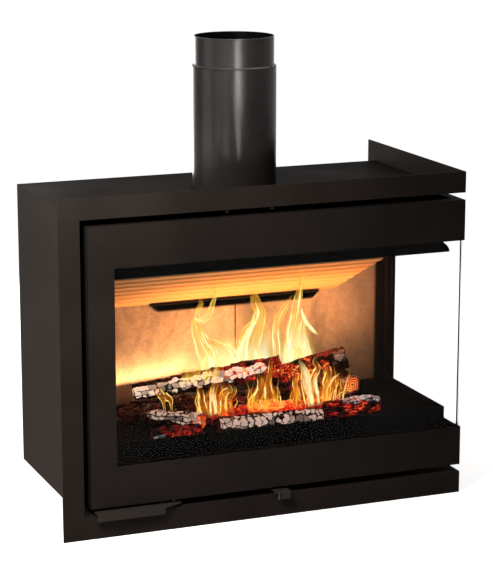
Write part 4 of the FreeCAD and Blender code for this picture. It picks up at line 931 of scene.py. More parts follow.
def logMesh(name, settings):
    length, width, middle, turn, tilt = settings["lie"]
    seed = settings["seed"]
    depth = settings["block"][3]
    hot, hotFrom, hotTo = settings["hot"]
    outer, inner = flankSettings["warmEdge"]
    near = flankSettings["softCorners"]
    pinch, sudden = flankSettings["pinch"]
    ringTone, ringSwing = endSettings["ringTone"]
    roundScale, placeScale = endSettings["chipScale"]
    leastHeat, moreHeat = endSettings["heat"]
    sides = max(36, int(math.pi * width / meshStep))
    rings = max(40, int(length / meshStep))
    caps = max(8, int(width * 0.5 / meshStep))
    reach = [sectionRadius(2 * math.pi * side / sides) * width for side in range(sides)]
    soft = [sum(reach[(side + step) % sides] for step in range(-near, near + 1)) / (2 * near + 1)
            for side in range(sides)]
    points, faces = [], []
    held = {"crack": [], "tone": [], "endRing": [], "glow": [], "ash": []}

    def addRing(along, scale, endWay):
        thin = settings["thin"] + (1 - settings["thin"]) * (along / length + 0.5)
        for side in range(sides):
            angle = 2 * math.pi * side / sides
            way = Vector((0, math.cos(angle), math.sin(angle)))
            spot = Vector((along, 0, 0)) + way * soft[side] * scale * thin
            lump = rugged(spot * flankSettings["lumpScale"], 4, (seed, 0, 0))
            crumb = rugged(spot * flankSettings["crumbScale"], 3, (0, seed, 0))
            share = spot.x / length + 0.5
            patch = smoothShare(*flankSettings["patchRange"],
                                rugged(spot * flankSettings["patchScale"], 3, (9, seed, 4)))
            if endWay:
                crack = endChecks(angle, scale, seed)
                tone = ringTone + ringSwing * math.sin(scale * endSettings["rings"] + 2 * lump)
                around = Vector((seed, way.y * roundScale, way.z * roundScale))
                chip = endSettings["chip"] * noise.noise(around + spot * placeScale)
                out = chip + endSettings["crumb"] * crumb - endSettings["dome"] * scale
                push = Vector((endWay * (out - endSettings["split"] * (1 - crack)), 0, 0))
                heat = endSettings["farHeat"] * hot
                if endWay > 0:
                    heat = settings["endHot"] * (leastHeat + moreHeat * patch)
                ash = smoothShare(*endSettings["rimAsh"], scale) * settings.get("rim", 0)
            else:
                crack, tone = charBlocks(spot, angle, width, settings["block"], seed)
                out = flankSettings["lump"] * lump + flankSettings["crumb"] * crumb
                out += (tone - flankSettings["levelTone"]) * flankSettings["block"]
                push = way * (out - depth * (1 - crack) - flankSettings["inset"])
                warm = smoothShare(hotFrom - outer, hotFrom + inner, share)
                heat = hot * patch * warm * smoothShare(hotTo + outer, hotTo - inner, share)
                ash = ashCover(spot, way, share, settings)
            points.append(spot + push)
            held["crack"].append(crack)
            held["tone"].append(tone)
            held["endRing"].append(scale if endWay else 0.0)
            held["glow"].append(heat)
            held["ash"].append(ash)

    for cap in range(1, caps):
        addRing(-length / 2, cap / caps, -1.0)
    for ring in range(rings):
        share = ring / (rings - 1)
        addRing((share - 0.5) * length, 1 - pinch * abs(2 * share - 1) ** sudden, 0.0)
    for cap in range(caps - 1, 0, -1):
        addRing(length / 2, cap / caps, 1.0)
    count = len(points) // sides
    for ring in range(count - 1):
        for side in range(sides):
            after = (side + 1) % sides
            faces.append((ring * sides + side, (ring + 1) * sides + side, (ring + 1) * sides + after,
                          ring * sides + after))
    faces.append(tuple(range(sides)))
    faces.append(tuple(reversed(range((count - 1) * sides, count * sides))))
    mesh = bpy.data.meshes.new(name)
    lie = Matrix.Translation(middle) @ Matrix.Rotation(math.radians(turn), 4, "Z")
    lie = lie @ Matrix.Rotation(math.radians(-tilt), 4, "Y")
    mesh.from_pydata([lie @ point for point in points], [], faces)
    keepOnPoints(mesh, held)
    mesh.polygons.foreach_set("use_smooth", [True] * len(mesh.polygons))
    mesh.update()
    return mesh


def keepOnPoints(mesh, held):
    for label, values in held.items():
        layer = mesh.attributes.new(label, "FLOAT", "POINT")
        layer.data.foreach_set("value", values)


def attributeOf(tree, name):
    return addNode(tree, "Attribute", attribute_name=name).outputs["Fac"]


emberGlow = [(0.0, (0, 0, 0)), (0.16, (0.05, 0.003, 0.002)), (0.42, (0.50, 0.012, 0.006)),
             (0.66, (0.95, 0.035, 0.010)), (0.84, (1.0, 0.20, 0.02)), (1.0, (1.0, 0.50, 0.10))]
logGlow = {
    "rings": 26.0,               # glowing growth rings of an end
    "ringScale": 60.0,
    "ringBend": 5.0,
    "ringRange": (-0.6, 0.9),
    "ringHeat": (0.35, 1.0),
    "endInner": (0.02, 0.15),    # share of the radius where the end's glow starts and is full
    "endOuter": (0.84, 0.66),    # and where it stops and is full
    "mottleScale": 170.0,
    "mottleRange": (0.40, 0.66),
    "mottleHeat": (0.0, 0.62),
    "crackRange": (0.7, 0.1),    # crack value where the glow starts and is full
    "flankRange": (0.05, 0.0),   # the flank's glow stops at the ends
    "underAsh": -0.9,            # what full ash takes from the glow
    "bump": (0.6, 0.0014),       # strength and depth
}


def makeLogMaterial(name, paleAsh, ashPaintedLight):
    material, tree, shader = startMaterial(name, Specular_IOR_Level=0.05, Roughness=0.9,
                                           Emission_Strength=1.0)
    crack = attributeOf(tree, "crack")
    ringed = attributeOf(tree, "endRing")
    burnt = useGroup(tree, charWood, Crack=crack, Tone=attributeOf(tree, "tone"),
                     Ash=attributeOf(tree, "ash"), Pale=paleAsh)
    bend = cloud(tree, objectPlace(tree), scale=logGlow["ringScale"])
    outward = times(tree, ringed, logGlow["rings"])
    swell = maths(tree, "SINE", scaleAdd(tree, bend, logGlow["ringBend"], outward))
    onEnd = times(tree, spread(tree, ringed, *logGlow["endInner"]),
                  spread(tree, ringed, *logGlow["endOuter"]))
    endGlow = times(tree, spread(tree, swell, *logGlow["ringRange"], *logGlow["ringHeat"]), onEnd)
    mottle = cloud(tree, objectPlace(tree), scale=logGlow["mottleScale"], detail=6.0, rough=0.7)
    mottle = spread(tree, mottle, *logGlow["mottleRange"], *logGlow["mottleHeat"])
    flank = maths(tree, "MAXIMUM", mottle, spread(tree, crack, *logGlow["crackRange"]))
    flank = times(tree, flank, spread(tree, ringed, *logGlow["flankRange"]))
    glow = times(tree, maths(tree, "MAXIMUM", flank, endGlow), attributeOf(tree, "glow"))
    glow = times(tree, glow, scaleAdd(tree, burnt["Ash"], logGlow["underAsh"], 1.0))
    # painted light: the pale ash shines by itself as if lit by the fire
    ashLight = mixColour(tree, burnt["Ash"], (0, 0, 0, 1), ashPaintedLight)
    light = mixColour(tree, 1.0, colourSteps(tree, glow, emberGlow), ashLight, "ADD")
    feed(tree, burnt["Colour"], shader.inputs["Base Color"])
    feed(tree, light, shader.inputs["Emission Color"])
    bumpInto(tree, shader, burnt["Height"], *logGlow["bump"])
    return material


def addPiece(name, mesh, material):
    piece = bpy.data.objects.new(name, mesh)
    bpy.context.collection.objects.link(piece)
    mesh.materials.append(material)
    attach(piece, "casing")
    return piece


for logName, logValues in logSettings.items():
    pieceName = logName.replace("_", "") + "Burning"
    piece = addPiece(pieceName, logMesh(pieceName, logValues), makeLogMaterial(pieceName, *logValues["pale"]))
    if logName in nodes:
        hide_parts(logName)
print("logs made:", len(logSettings))


# The ember bed: a low heap of ash and char with glowing lumps on it

emberSettings = {
    "middle": (-0.0125, -0.0030),
    "size": (0.560, 0.220),
    "base": 0.190,
    "top": 0.2030,
    "hump": (0.095, -0.085, 0.150, 0.030),   # middle and spread of the hottest part
    "humpRise": 0.017,
    "dark": (-0.13, -0.03),                  # left of these it has gone out and glows no more, which also keeps that end dark as painted shade under the logs
    "grid": (140, 56),                       # points of the heap's skin across and to the back
    "rimTests": (1.04, 1.08),                # moved out by these, a point at the rim leaves the plan
    "rimHeight": 0.002,                      # above the base
    "bumpScale": 55,
    "bumpSize": 0.004,
    "skinHeat": (0.75, 0.3),                 # glow of the hump, and of the patches over the whole skin
    "patchScale": 24,
    "seed": 29,
}
lumpSettings = {
    "count": 900,
    "size": (0.004, 0.011),
    "growth": (0.7, 0.6),                    # least growth, and what a rare draw adds
    "long": (0.8, 2.2),
    "wide": (0.7, 1.2),
    "tall": (0.5, 0.9),
    "turn": (0, 6.28),
    "lean": (-0.5, 0.5),
    "margin": 1.06,                          # how far inside the plan they stay
    "lift": 0.25,                            # how far a lump's middle is above the skin, in sizes
    "heat": (0.10, 0.85, 0.45),              # of every lump, on the hump, and in patches
    "patchScale": 13.0,
    "heatDraw": (-0.25, 0.2),
    "ash": 0.5,
    "ashHeights": (0.1, 0.8),                # it lies on a lump's upper side
    "dents": (1.6, 0.34),                    # scale and size of the dents, and of the small ones
    "smallDents": (4.0, 0.12),
    "dentShift": 40,                         # so that no two lumps are dented alike
}
emberPlan = [(-0.5, -0.05), (-0.36, 0.05), (-0.14, 0.43), (-0.13, 0.5), (0.35, 0.45), (0.6, 0.16),
             (0.64, -0.2), (0.5, -0.5), (-0.42, -0.5)]
planLeft, planRight, planWide = -0.5, 0.64, 1.14      # reach of the plan, in shares of the size


def insidePlan(across, ahead):
    inside = False
    for index, (x1, y1) in enumerate(emberPlan):
        x2, y2 = emberPlan[(index + 1) % len(emberPlan)]
        if (y1 > ahead) != (y2 > ahead) and across < (x2 - x1) * (ahead - y1) / (y2 - y1) + x1:
            inside = not inside
    return inside


def humpShare(x, y):
    midX, midY, wide, deep = emberSettings["hump"]
    return math.exp(-((x - midX) / wide) ** 2 - ((y - midY) / deep) ** 2)


def lumpShape():
    base = bpy.data.meshes.new("lumpShape")
    shape = bmesh.new()
    bmesh.ops.create_icosphere(shape, subdivisions=2, radius=1.0)
    shape.to_mesh(base)
    shape.free()
    return [vertex.co.copy() for vertex in base.vertices], [tuple(face.vertices) for face in base.polygons]


def addHeapSkin(points, faces, held, chance):
    # a bumpy skin that falls to the hearth at its rim
    middleX, middleY = emberSettings["middle"]
    wide, deep = emberSettings["size"]
    columns, rows = emberSettings["grid"]
    bumpScale, patchScale = emberSettings["bumpScale"], emberSettings["patchScale"]
    humpHeat, patchHeat = emberSettings["skinHeat"]
    index = {}
    for row in range(rows + 1):
        for column in range(columns + 1):
            across = planWide * column / columns + planLeft
            ahead = row / rows - 0.5
            if not insidePlan(across * 0.999, ahead * 0.999):     # keeps points on the plan's own line
                continue
            x = middleX + across * wide
            y = middleY - ahead * deep
            bumps = rugged(Vector((x * bumpScale, y * bumpScale, 1.7)), 5)
            hump = humpShare(x, y)
            z = emberSettings["top"] + emberSettings["bumpSize"] * bumps + emberSettings["humpRise"] * hump
            if not all(insidePlan(across * out, ahead * out) for out in emberSettings["rimTests"]):
                z = emberSettings["base"] + emberSettings["rimHeight"]
            index[row, column] = len(points)
            points.append(Vector((x, y, z)))
            # no glow at the heap's left end: gone out, and painted shade under the logs
            lit = smoothShare(*emberSettings["dark"], x)
            patch = noise.noise(Vector((x * patchScale, y * patchScale, 4.0)))
            held["glow"].append(lit * (humpHeat * hump + patchHeat * patch))
            held["tone"].append(chance.random())
            held["ash"].append(0.0)
    for row, column in index:
        corners = [(row, column), (row + 1, column), (row + 1, column + 1), (row, column + 1)]
        if all(corner in index for corner in corners):
            faces.append(tuple(index[corner] for corner in corners))


def addLump(points, faces, held, chance, across, ahead, ball):
    # one lump of char: a dented ball, stretched, turned, and set in the skin
    middleX, middleY = emberSettings["middle"]
    wide, deep = emberSettings["size"]
    least, more = lumpSettings["growth"]
    everyHeat, humpHeat, patchHeat = lumpSettings["heat"]
    dentScale, dentSize = lumpSettings["dents"]
    smallScale, smallSize = lumpSettings["smallDents"]
    size = chance.uniform(*lumpSettings["size"]) * (least + more * chance.random() ** 3)
    stretch = Vector([chance.uniform(*lumpSettings[side]) for side in ("long", "wide", "tall")]) * size
    spin = Matrix.Rotation(chance.uniform(*lumpSettings["turn"]), 3, "Z")
    spin = spin @ Matrix.Rotation(chance.uniform(*lumpSettings["lean"]), 3, "X")
    spot = Vector((middleX + across * wide, middleY - ahead * deep,
                   emberSettings["top"] + size * lumpSettings["lift"]))
    near = humpShare(spot.x, spot.y)
    spot.z += emberSettings["humpRise"] * near
    heat = everyHeat + humpHeat * near + patchHeat * noise.noise(spot * lumpSettings["patchScale"])
    heat = min(max(heat + chance.uniform(*lumpSettings["heatDraw"]), 0), 1)
    # no glow at the left end: gone out, and painted shade under the logs
    heat *= smoothShare(*emberSettings["dark"], spot.x)
    tone = chance.random()
    ash = lumpSettings["ash"] * chance.random() ** 2
    shift = Vector([chance.random() * lumpSettings["dentShift"] for _ in range(3)])
    first = len(points)
    ballPoints, ballFaces = ball
    for point in ballPoints:
        dent = dentSize * noise.noise(point * dentScale + shift)
        grown = point * (1 + dent + smallSize * noise.noise(point * smallScale + shift))
        points.append(spot + spin @ Vector((grown.x * stretch.x, grown.y * stretch.y, grown.z * stretch.z)))
        held["glow"].append(heat)
        held["tone"].append(tone)
        held["ash"].append(ash * smoothShare(*lumpSettings["ashHeights"], point.z))
    faces += [tuple(first + corner for corner in face) for face in ballFaces]


def emberMesh():
    chance = random.Random(emberSettings["seed"])
    points, faces = [], []
    held = {"glow": [], "tone": [], "ash": []}
    addHeapSkin(points, faces, held, chance)
    ball = lumpShape()
    margin = lumpSettings["margin"]
    placed = 0
    while placed < lumpSettings["count"]:
        across = chance.uniform(planLeft, planRight)
        ahead = chance.uniform(-0.5, 0.5)
        if insidePlan(across * margin, ahead * margin):
            addLump(points, faces, held, chance, across, ahead, ball)
            placed += 1
    mesh = bpy.data.meshes.new("emberHeap")
    mesh.from_pydata(points, [], faces)
    keepOnPoints(mesh, held)
    mesh.update()
    return mesh


heapGlow = {
    "flickerScale": 130.0,
    "flicker": (2.2, -1.20),                 # how far the fine flicker swings the glow, and from where
    "underAsh": -0.7,                        # what full ash takes from the glow
    "bump": (0.4, 0.001),                    # strength and depth
}


def makeEmberMaterial():
    material, tree, shader = startMaterial("emberHeap", Specular_IOR_Level=0.1, Roughness=0.95,
                                           Emission_Strength=1.0)
    flicker = cloud(tree, objectPlace(tree), scale=heapGlow["flickerScale"], detail=6.0, rough=0.7)
    burnt = useGroup(tree, charWood, Tone=attributeOf(tree, "tone"), Ash=attributeOf(tree, "ash"))
    hot = maths(tree, "ADD", attributeOf(tree, "glow"), scaleAdd(tree, flicker, *heapGlow["flicker"]))
    hot = times(tree, hot, scaleAdd(tree, burnt["Ash"], heapGlow["underAsh"], 1.0))
    feed(tree, burnt["Colour"], shader.inputs["Base Color"])
    feed(tree, colourSteps(tree, hot, emberGlow), shader.inputs["Emission Color"])
    bumpInto(tree, shader, burnt["Height"], *heapGlow["bump"])
    return material


emberHeap = addPiece("emberHeap", emberMesh(), makeEmberMaterial())
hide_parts("ember_bed")
print("ember heap made")


# The flames: thin curved tongues that rise from the embers and the logs

flameSettings = {
    "hearth": 206,           # height of the embers that the tongues start from, millimetres
    "lowFoot": 8,            # a foot no higher than this above the hearth is left as it is
    "highFoot": 330,         # a tongue whose foot is higher than this floats free
    "footAhead": 4,          # how far in front of its foot a tongue starts
    "footWidth": 0.8,        # and how wide, as a share of its foot
    "steps": 64,
    "across": 20,
    "leastHalf": 0.5,        # least half width
    "aheadShare": 0.02,      # how far along the line its direction is taken
    "twist": 0.6,
    "twistScale": (9.1, 2.0),    # from tongue to tongue and along one
    "bow": 0.5,              # how far a tongue bows to the front, in half widths
    "strength": 1.2,
}
flameLooks = {
    # body, rim, strand: how solid these are; wider: its width against its line; pale: how white its foot is;
    # redder: how much redder its tip is; foot: heights between which it comes in; top: where it dies out
    "backFlames": {"body": 0.34, "rim": 0.72, "strand": 0.85, "wider": 1.4, "pale": 0.46, "redder": 0.54,
                   "foot": (0.240, 0.290), "top": (0.72, 1.08)},
    "curlFlames": {"body": 0.80, "rim": 0.45, "strand": 0.25, "wider": 1.2, "pale": 0.50, "redder": 0.30,
                   "foot": (0.206, 0.222), "top": (0.60, 1.0)},
    "veilFlames": {"body": 0.95, "rim": 0.0, "strand": 0.30, "wider": 1.3, "pale": 0.74, "redder": 1.30,
                   "foot": (0.240, 0.285), "top": (0.05, 0.72)},
    "sheetFlames": {"body": 0.24, "rim": 0.30, "strand": 0.50, "wider": 1.15, "pale": -0.10, "redder": 0.20,
                    "foot": (0.206, 0.226), "top": (0.50, 1.0)},
    "frontFlames": {"body": 0.15, "rim": 1.10, "strand": 0.35, "wider": 1.35, "pale": 0.12, "redder": 0.25,
                    "foot": (0.206, 0.226), "top": (0.60, 1.0)},
    "lickFlames": {"body": 0.55, "rim": 0.25, "strand": 0.40, "wider": 1.3, "pale": 0.22, "redder": 0.35,
                   "foot": (0.256, 0.282), "top": (0.35, 1.0)},
    "threadFlames": {"body": 0.85, "rim": 0.0, "strand": 0.0, "wider": 1.0, "pale": 0.02, "redder": 0.42,
                     "foot": (0.205, 0.216), "top": (0.50, 1.0)},
}
threadSettings = {
    # count, and the left and right limit, of each bunch of thin threads; millimetres
    "bunches": [(9, -108, -14), (8, 24, 100), (15, 128, 286)],
    "depth": (-100, -62),
    "rise": (34, 96),
    "half": (1.6, 4.2),
    "parts": 5,
    "sway": 15,
    "swayGrowth": (0.3, 0.6),    # sway at the foot against the tip, and of all
    "lean": 10,                  # how far back the tip is
    "taper": 0.8,
    "seed": 41,
}
strokeSettings = {
    # left, top and zoom of the pieces of the picture that the strokes were drawn over, in pixels
    "pieces": {"left": (120, 340, 11.2), "right": (250, 335, 11.2), "rear": (100, 220, 4.126)},
    "picture": (493, 583),   # pixels across and down
    "shift": (-2, 3),        # from the picture's fire to the render's
    "perPixel": 2.36,        # millimetres to a pixel at the fire, for the widths
}
# each stroke: its piece of the picture, how far back its foot and its last point are in millimetres, and its
# points: across, down and half width in the zoomed piece; late points that roll forward under the baffle
# have a fourth value, how far back they are, and the stroke's own depths then end before them
strokes = {
    "backFlames": [
        ("rear", 70, 98.3, [(455, 560, 46), (432, 505, 34), (412, 455, 22), (402, 412, 16), (410, 370, 14),
                            (424, 335, 10), (415, 307, 4, 76)]),
        ("rear", 84, 94.6, [(398, 388, 4), (412, 402, 9), (436, 398, 12), (458, 374, 12), (471, 340, 10),
                            (483, 297, 9, 66), (491, 255, 7, -49), (499, 228, 2, -117)]),
        ("rear", 72, 96, [(505, 572, 78), (500, 535, 60), (480, 505, 36), (450, 480, 10)]),
        ("rear", 72, 100.3, [(622, 560, 54), (624, 505, 46), (640, 450, 38), (660, 400, 32), (666, 360, 24),
                             (648, 322, 17), (640, 282, 10, 61), (653, 265, 2, 18)]),
        ("rear", 82, 100, [(600, 520, 14), (598, 480, 16), (618, 440, 16), (648, 405, 12), (690, 375, 3)]),
        ("rear", 78, 102, [(738, 520, 18), (734, 460, 15), (740, 410, 15), (756, 365, 15), (780, 328, 10),
                           (800, 296, 3)]),
        ("rear", 72, 94.7, [(806, 560, 44), (800, 500, 34), (802, 440, 27), (812, 385, 23), (820, 335, 19),
                            (827, 286, 17, 98), (837, 223, 14, -55), (833, 197, 4, -119)]),
        ("rear", 74, 96, [(828, 566, 60), (834, 530, 44), (842, 500, 22), (850, 478, 6)]),
        ("rear", 84, 100, [(858, 560, 22), (852, 500, 18), (842, 440, 14), (846, 390, 10), (856, 350, 3)]),
    ],
    "curlFlames": [
        ("rear", 84, 84, [(838, 352, 3), (846, 385, 9), (862, 415, 13), (886, 442, 11), (903, 456, 6),
                          (918, 464, 2)]),
    ],
    "veilFlames": [
        ("rear", 96, 108, [(500, 568, 90), (500, 520, 80), (490, 470, 66), (480, 420, 44), (476, 370, 14)]),
        ("rear", 96, 110, [(640, 565, 95), (650, 500, 88), (662, 430, 72), (675, 360, 48), (680, 300, 16)]),
        ("rear", 96, 104.4, [(812, 568, 84), (812, 500, 78), (815, 430, 62), (822, 350, 44),
                             (833, 270, 24, 76), (836, 230, 7, -32)]),
    ],
    "lickFlames": [],
    "sheetFlames": [
        ("left", -92, -66, [(1110, 830, 190), (1110, 720, 180), (1120, 600, 150), (1140, 500, 110),
                            (1150, 400, 30)]),
        ("right", -92, -66, [(180, 740, 210), (185, 620, 150), (200, 500, 90), (210, 390, 60),
                             (240, 270, 14)]),
        ("right", -90, -66, [(600, 770, 170), (610, 640, 170), (630, 500, 160), (640, 380, 120),
                             (600, 260, 40)]),
        ("right", -90, -66, [(880, 750, 170), (900, 620, 170), (910, 500, 150), (900, 400, 110),
                             (890, 280, 30)]),
    ],
    "frontFlames": [
        ("left", -30, -10, [(517, 692, 14), (494, 612, 30), (446, 534, 44), (376, 440, 22)]),
        ("left", -30, -14, [(596, 690, 12), (580, 634, 30), (530, 596, 36), (474, 560, 14)]),
        ("left", -96, -60, [(990, 800, 40), (952, 730, 44), (930, 650, 42), (936, 580, 40), (914, 512, 26),
                            (858, 478, 6)]),
        ("left", -98, -60, [(1098, 830, 50), (1070, 740, 48), (1058, 640, 42), (1060, 550, 38),
                            (1088, 450, 30), (1150, 335, 8)]),
        ("left", -98, -60, [(1168, 830, 40), (1172, 730, 42), (1180, 640, 38), (1188, 565, 38),
                            (1238, 505, 30), (1206, 430, 10)]),
        ("left", -96, -62, [(1262, 800, 40), (1236, 710, 36), (1240, 620, 36), (1296, 530, 30),
                            (1262, 440, 10)]),
        ("right", -98, -64, [(70, 720, 80), (120, 620, 54), (140, 520, 36), (132, 430, 28), (172, 345, 8)]),
        ("right", -98, -62, [(240, 720, 96), (226, 600, 64), (224, 500, 38), (246, 390, 28), (256, 285, 22),
                             (268, 190, 6)]),
        ("right", -98, -70, [(320, 660, 44), (310, 590, 36), (276, 540, 14)]),
        ("right", -98, -62, [(560, 740, 30), (548, 640, 32), (520, 520, 34), (528, 410, 34), (498, 320, 8)]),
        ("right", -98, -62, [(690, 770, 50), (660, 680, 42), (640, 560, 42), (640, 440, 46), (622, 340, 36),
                             (572, 220, 8)]),
        ("right", -98, -60, [(780, 750, 34), (742, 650, 36), (704, 560, 34), (732, 440, 38), (776, 340, 38),
                             (744, 255, 26), (828, 148, 6)]),
        ("right", -98, -62, [(862, 740, 36), (868, 620, 42), (882, 490, 52), (892, 390, 52), (876, 300, 36),
                             (902, 235, 8)]),
        ("right", -96, -62, [(920, 690, 34), (918, 590, 46), (966, 490, 56), (1006, 430, 40),
                             (1064, 372, 8)]),
        ("right", -90, -64, [(1010, 650, 14), (1076, 600, 18), (1050, 535, 20), (1050, 465, 20),
                             (1066, 384, 6)]),
        ("right", -98, -92, [(700, 745, 16), (790, 768, 22), (880, 712, 22), (912, 640, 18), (912, 560, 6)]),
    ],
}
# tongues set out one by one on the hearth and on log_top: right, back, up and half width, millimetres
laidTongues = {
    "curlFlames": [
        [(176, -96, 230, 8), (171, -88, 253, 10), (170, -80, 277, 11), (166, -72, 298, 9),
         (155, -64, 322, 2)],
        [(196, -92, 236, 4), (192, -84, 254, 7), (196, -76, 274, 7), (206, -68, 292, 2)],
        [(-70, -94, 226, 4), (-71, -84, 247, 6), (-69, -75, 264, 5), (-60, -66, 281, 1)],
    ],
    "lickFlames": [
        [(-106, 25, 260, 8), (-100, 25, 276, 11), (-97, 27, 292, 8), (-86, 31, 322, 2)],
        [(-84, 18, 264, 9), (-80, 18, 280, 12), (-70, 21, 300, 10), (-72, 25, 330, 2)],
        [(-56, 9, 270, 8), (-52, 10, 286, 12), (-54, 13, 303, 8), (-44, 17, 328, 2)],
        [(-36, 3, 274, 7), (-33, 4, 288, 9), (-25, 7, 303, 7), (-22, 10, 322, 2)],
    ],
}


def sightPoint(across, down, back):
    # right and up of what a pixel of the picture shows at a depth, millimetres
    wide, tall = strokeSettings["picture"]
    focal = viewSettings["lens"] / viewSettings["sensor"] * tall
    tilt = math.radians(viewSettings["tilt"])
    turn = math.radians(viewSettings["turn"])
    aside = (across - wide / 2) / focal
    rise = (tall / 2 - down) / focal
    ahead = rise * math.cos(tilt) + math.sin(tilt)
    eyeRight, eyeBack, eyeUp = (1000 * value for value in viewSettings["place"])
    reach = (back - eyeBack) / (aside * math.sin(turn) + ahead * math.cos(turn))
    right = eyeRight + reach * (aside * math.cos(turn) - ahead * math.sin(turn))
    return right, eyeUp + reach * (rise * math.sin(tilt) - math.cos(tilt))


def drawnTongue(piece, foot, last, points):
    # a stroke as a tongue: right, back, up and half width of its points, whole millimetres
    left, top, zoom = strokeSettings["pieces"][piece]
    shiftAcross, shiftDown = strokeSettings["shift"]
    steps = sum(len(point) == 3 for point in points) - 1
    line = []
    for index, (across, down, half, *own) in enumerate(points):
        back = own[0] if own else foot + (last - foot) * index / steps
        right, up = sightPoint(left + across / zoom + shiftAcross, top + down / zoom + shiftDown, back)
        half = max(round(half / zoom * strokeSettings["perPixel"]), 1)
        line.append((round(right), round(back), round(up), half))
    return line


tongues = {}
for strokeName, strokeLines in strokes.items():
    tongues[strokeName] = laidTongues.get(strokeName, []) + [drawnTongue(*line) for line in strokeLines]


def threadLines():
    # thin threads of flame among the wider tongues
    chance = random.Random(threadSettings["seed"])
    parts = threadSettings["parts"]
    footSway, allSway = threadSettings["swayGrowth"]
    lines = []
    for count, left, right in threadSettings["bunches"]:
        for _ in range(count):
            foot = chance.uniform(left, right)
            back = chance.uniform(*threadSettings["depth"])
            rise = chance.uniform(*threadSettings["rise"])
            half = chance.uniform(*threadSettings["half"])
            line = []
            for step in range(parts + 1):
                share = step / parts
                foot += chance.uniform(-1, 1) * threadSettings["sway"] * (footSway + share) * allSway
                up = flameSettings["hearth"] + rise * share
                line.append((foot, back + threadSettings["lean"] * share, up,
                             half * (1 - threadSettings["taper"] * share)))
            lines.append(line)
    return lines


tongues["threadFlames"] = threadLines()


def alongCurve(points, share):
    # a smooth line through the points, with its half width, in metres
    count = len(points) - 1
    at = min(int(share * count), count - 1)
    part = share * count - at
    near = [points[min(max(at + step, 0), count)] for step in (-1, 0, 1, 2)]
    out = []
    for a, b, c, d in zip(*near):
        out.append(0.5 * (2 * b + (c - a) * part + (2 * a - 5 * b + 4 * c - d) * part ** 2
                          + (3 * b - a - 3 * c + d) * part ** 3))
    return Vector(out[:3]) / 1000, max(out[3], flameSettings["leastHalf"]) / 1000


def withFoot(line):
    # a tongue that starts above the hearth gets a foot on it
    right, back, up, half = line[0]
    rises = line[-1][2] > up
    hearth = flameSettings["hearth"]
    if rises and hearth + flameSettings["lowFoot"] < up < flameSettings["highFoot"]:
        return [(right, back - flameSettings["footAhead"], hearth, half * flameSettings["footWidth"])] + line
    return line


def flameMesh(name, lines, wider):
    points, faces, maps = [], [], []
    steps, across = flameSettings["steps"], flameSettings["across"]
    near = flameSettings["aheadShare"]
    tongueScale, alongScale = flameSettings["twistScale"]
    for number, line in enumerate(lines):
        line = withFoot(line)
        for step in range(steps + 1):
            share = step / steps
            middle, half = alongCurve(line, share)
            ahead = alongCurve(line, min(share + near, 1.0))[0] - alongCurve(line, max(share - near, 0.0))[0]
            sideways = Vector((ahead.z, 0, -ahead.x)).normalized()
            turn = noise.noise(Vector((number * tongueScale, share * alongScale, 5.0)))
            twist = flameSettings["twist"] * turn
            for column in range(across + 1):
                side = 2 * column / across - 1
                reach = side * half * wider
                bow = (1 - side * side) * half * flameSettings["bow"]
                points.append(middle + sideways * reach * math.cos(twist)
                              + Vector((0, reach * math.sin(twist) - bow, 0)))
                maps.append((column / across + number * 2, share))     # each tongue has its own noise
        first = number * (steps + 1) * (across + 1)
        for step in range(steps):
            for column in range(across):
                corner = first + step * (across + 1) + column
                faces.append((corner, corner + 1, corner + across + 2, corner + across + 1))
    mesh = bpy.data.meshes.new(name)
    mesh.from_pydata(points, [], faces)
    layer = mesh.uv_layers.new(name="flameMap")
    for loop in mesh.loops:
        layer.data[loop.index].uv = maps[loop.vertex_index]
    mesh.polygons.foreach_set("use_smooth", [True] * len(mesh.polygons))
    mesh.update()
    return mesh


flameColours = [(0.0, (0.80, 0.13, 0.01)), (0.22, (1.0, 0.34, 0.02)), (0.45, (1.0, 0.58, 0.05)),
                (0.70, (1.0, 0.77, 0.18)), (0.95, (1.0, 0.95, 0.52))]
flowSettings = {
    "swayFlow": (1.2, 3.2),      # how often each noise changes across a tongue and along it
    "rimFlow": (2.0, 3.0),
    "strandFlow": (7.5, 2.2),
    "tipFlow": (3.5, 1.2),
    "sway": 1.5,                 # how far the body sways from side to side
    "swayHeight": (0.0, 0.6),    # share of the length over which the sway grows
    "swayGrowth": (0.35, 1.0),
    "body": (1.0, 0.25),         # off the middle: where the body starts and is full
    "rimOuter": (0.95, 0.76),    # the same for the bright rims, from outside and from inside
    "rimInner": (0.46, 0.72),
    "rimRange": (0.36, 0.60),    # noise that breaks the rims up
    "rimShow": (0.2, 1.0),
    "strandRange": (0.50, 0.66),
    "tip": 0.5,                  # how ragged the tip is
    "edge": (1.0, 0.80),         # the sheet's own edges fade out
    "denseHeat": 0.75,           # how much paler the dense parts are
}


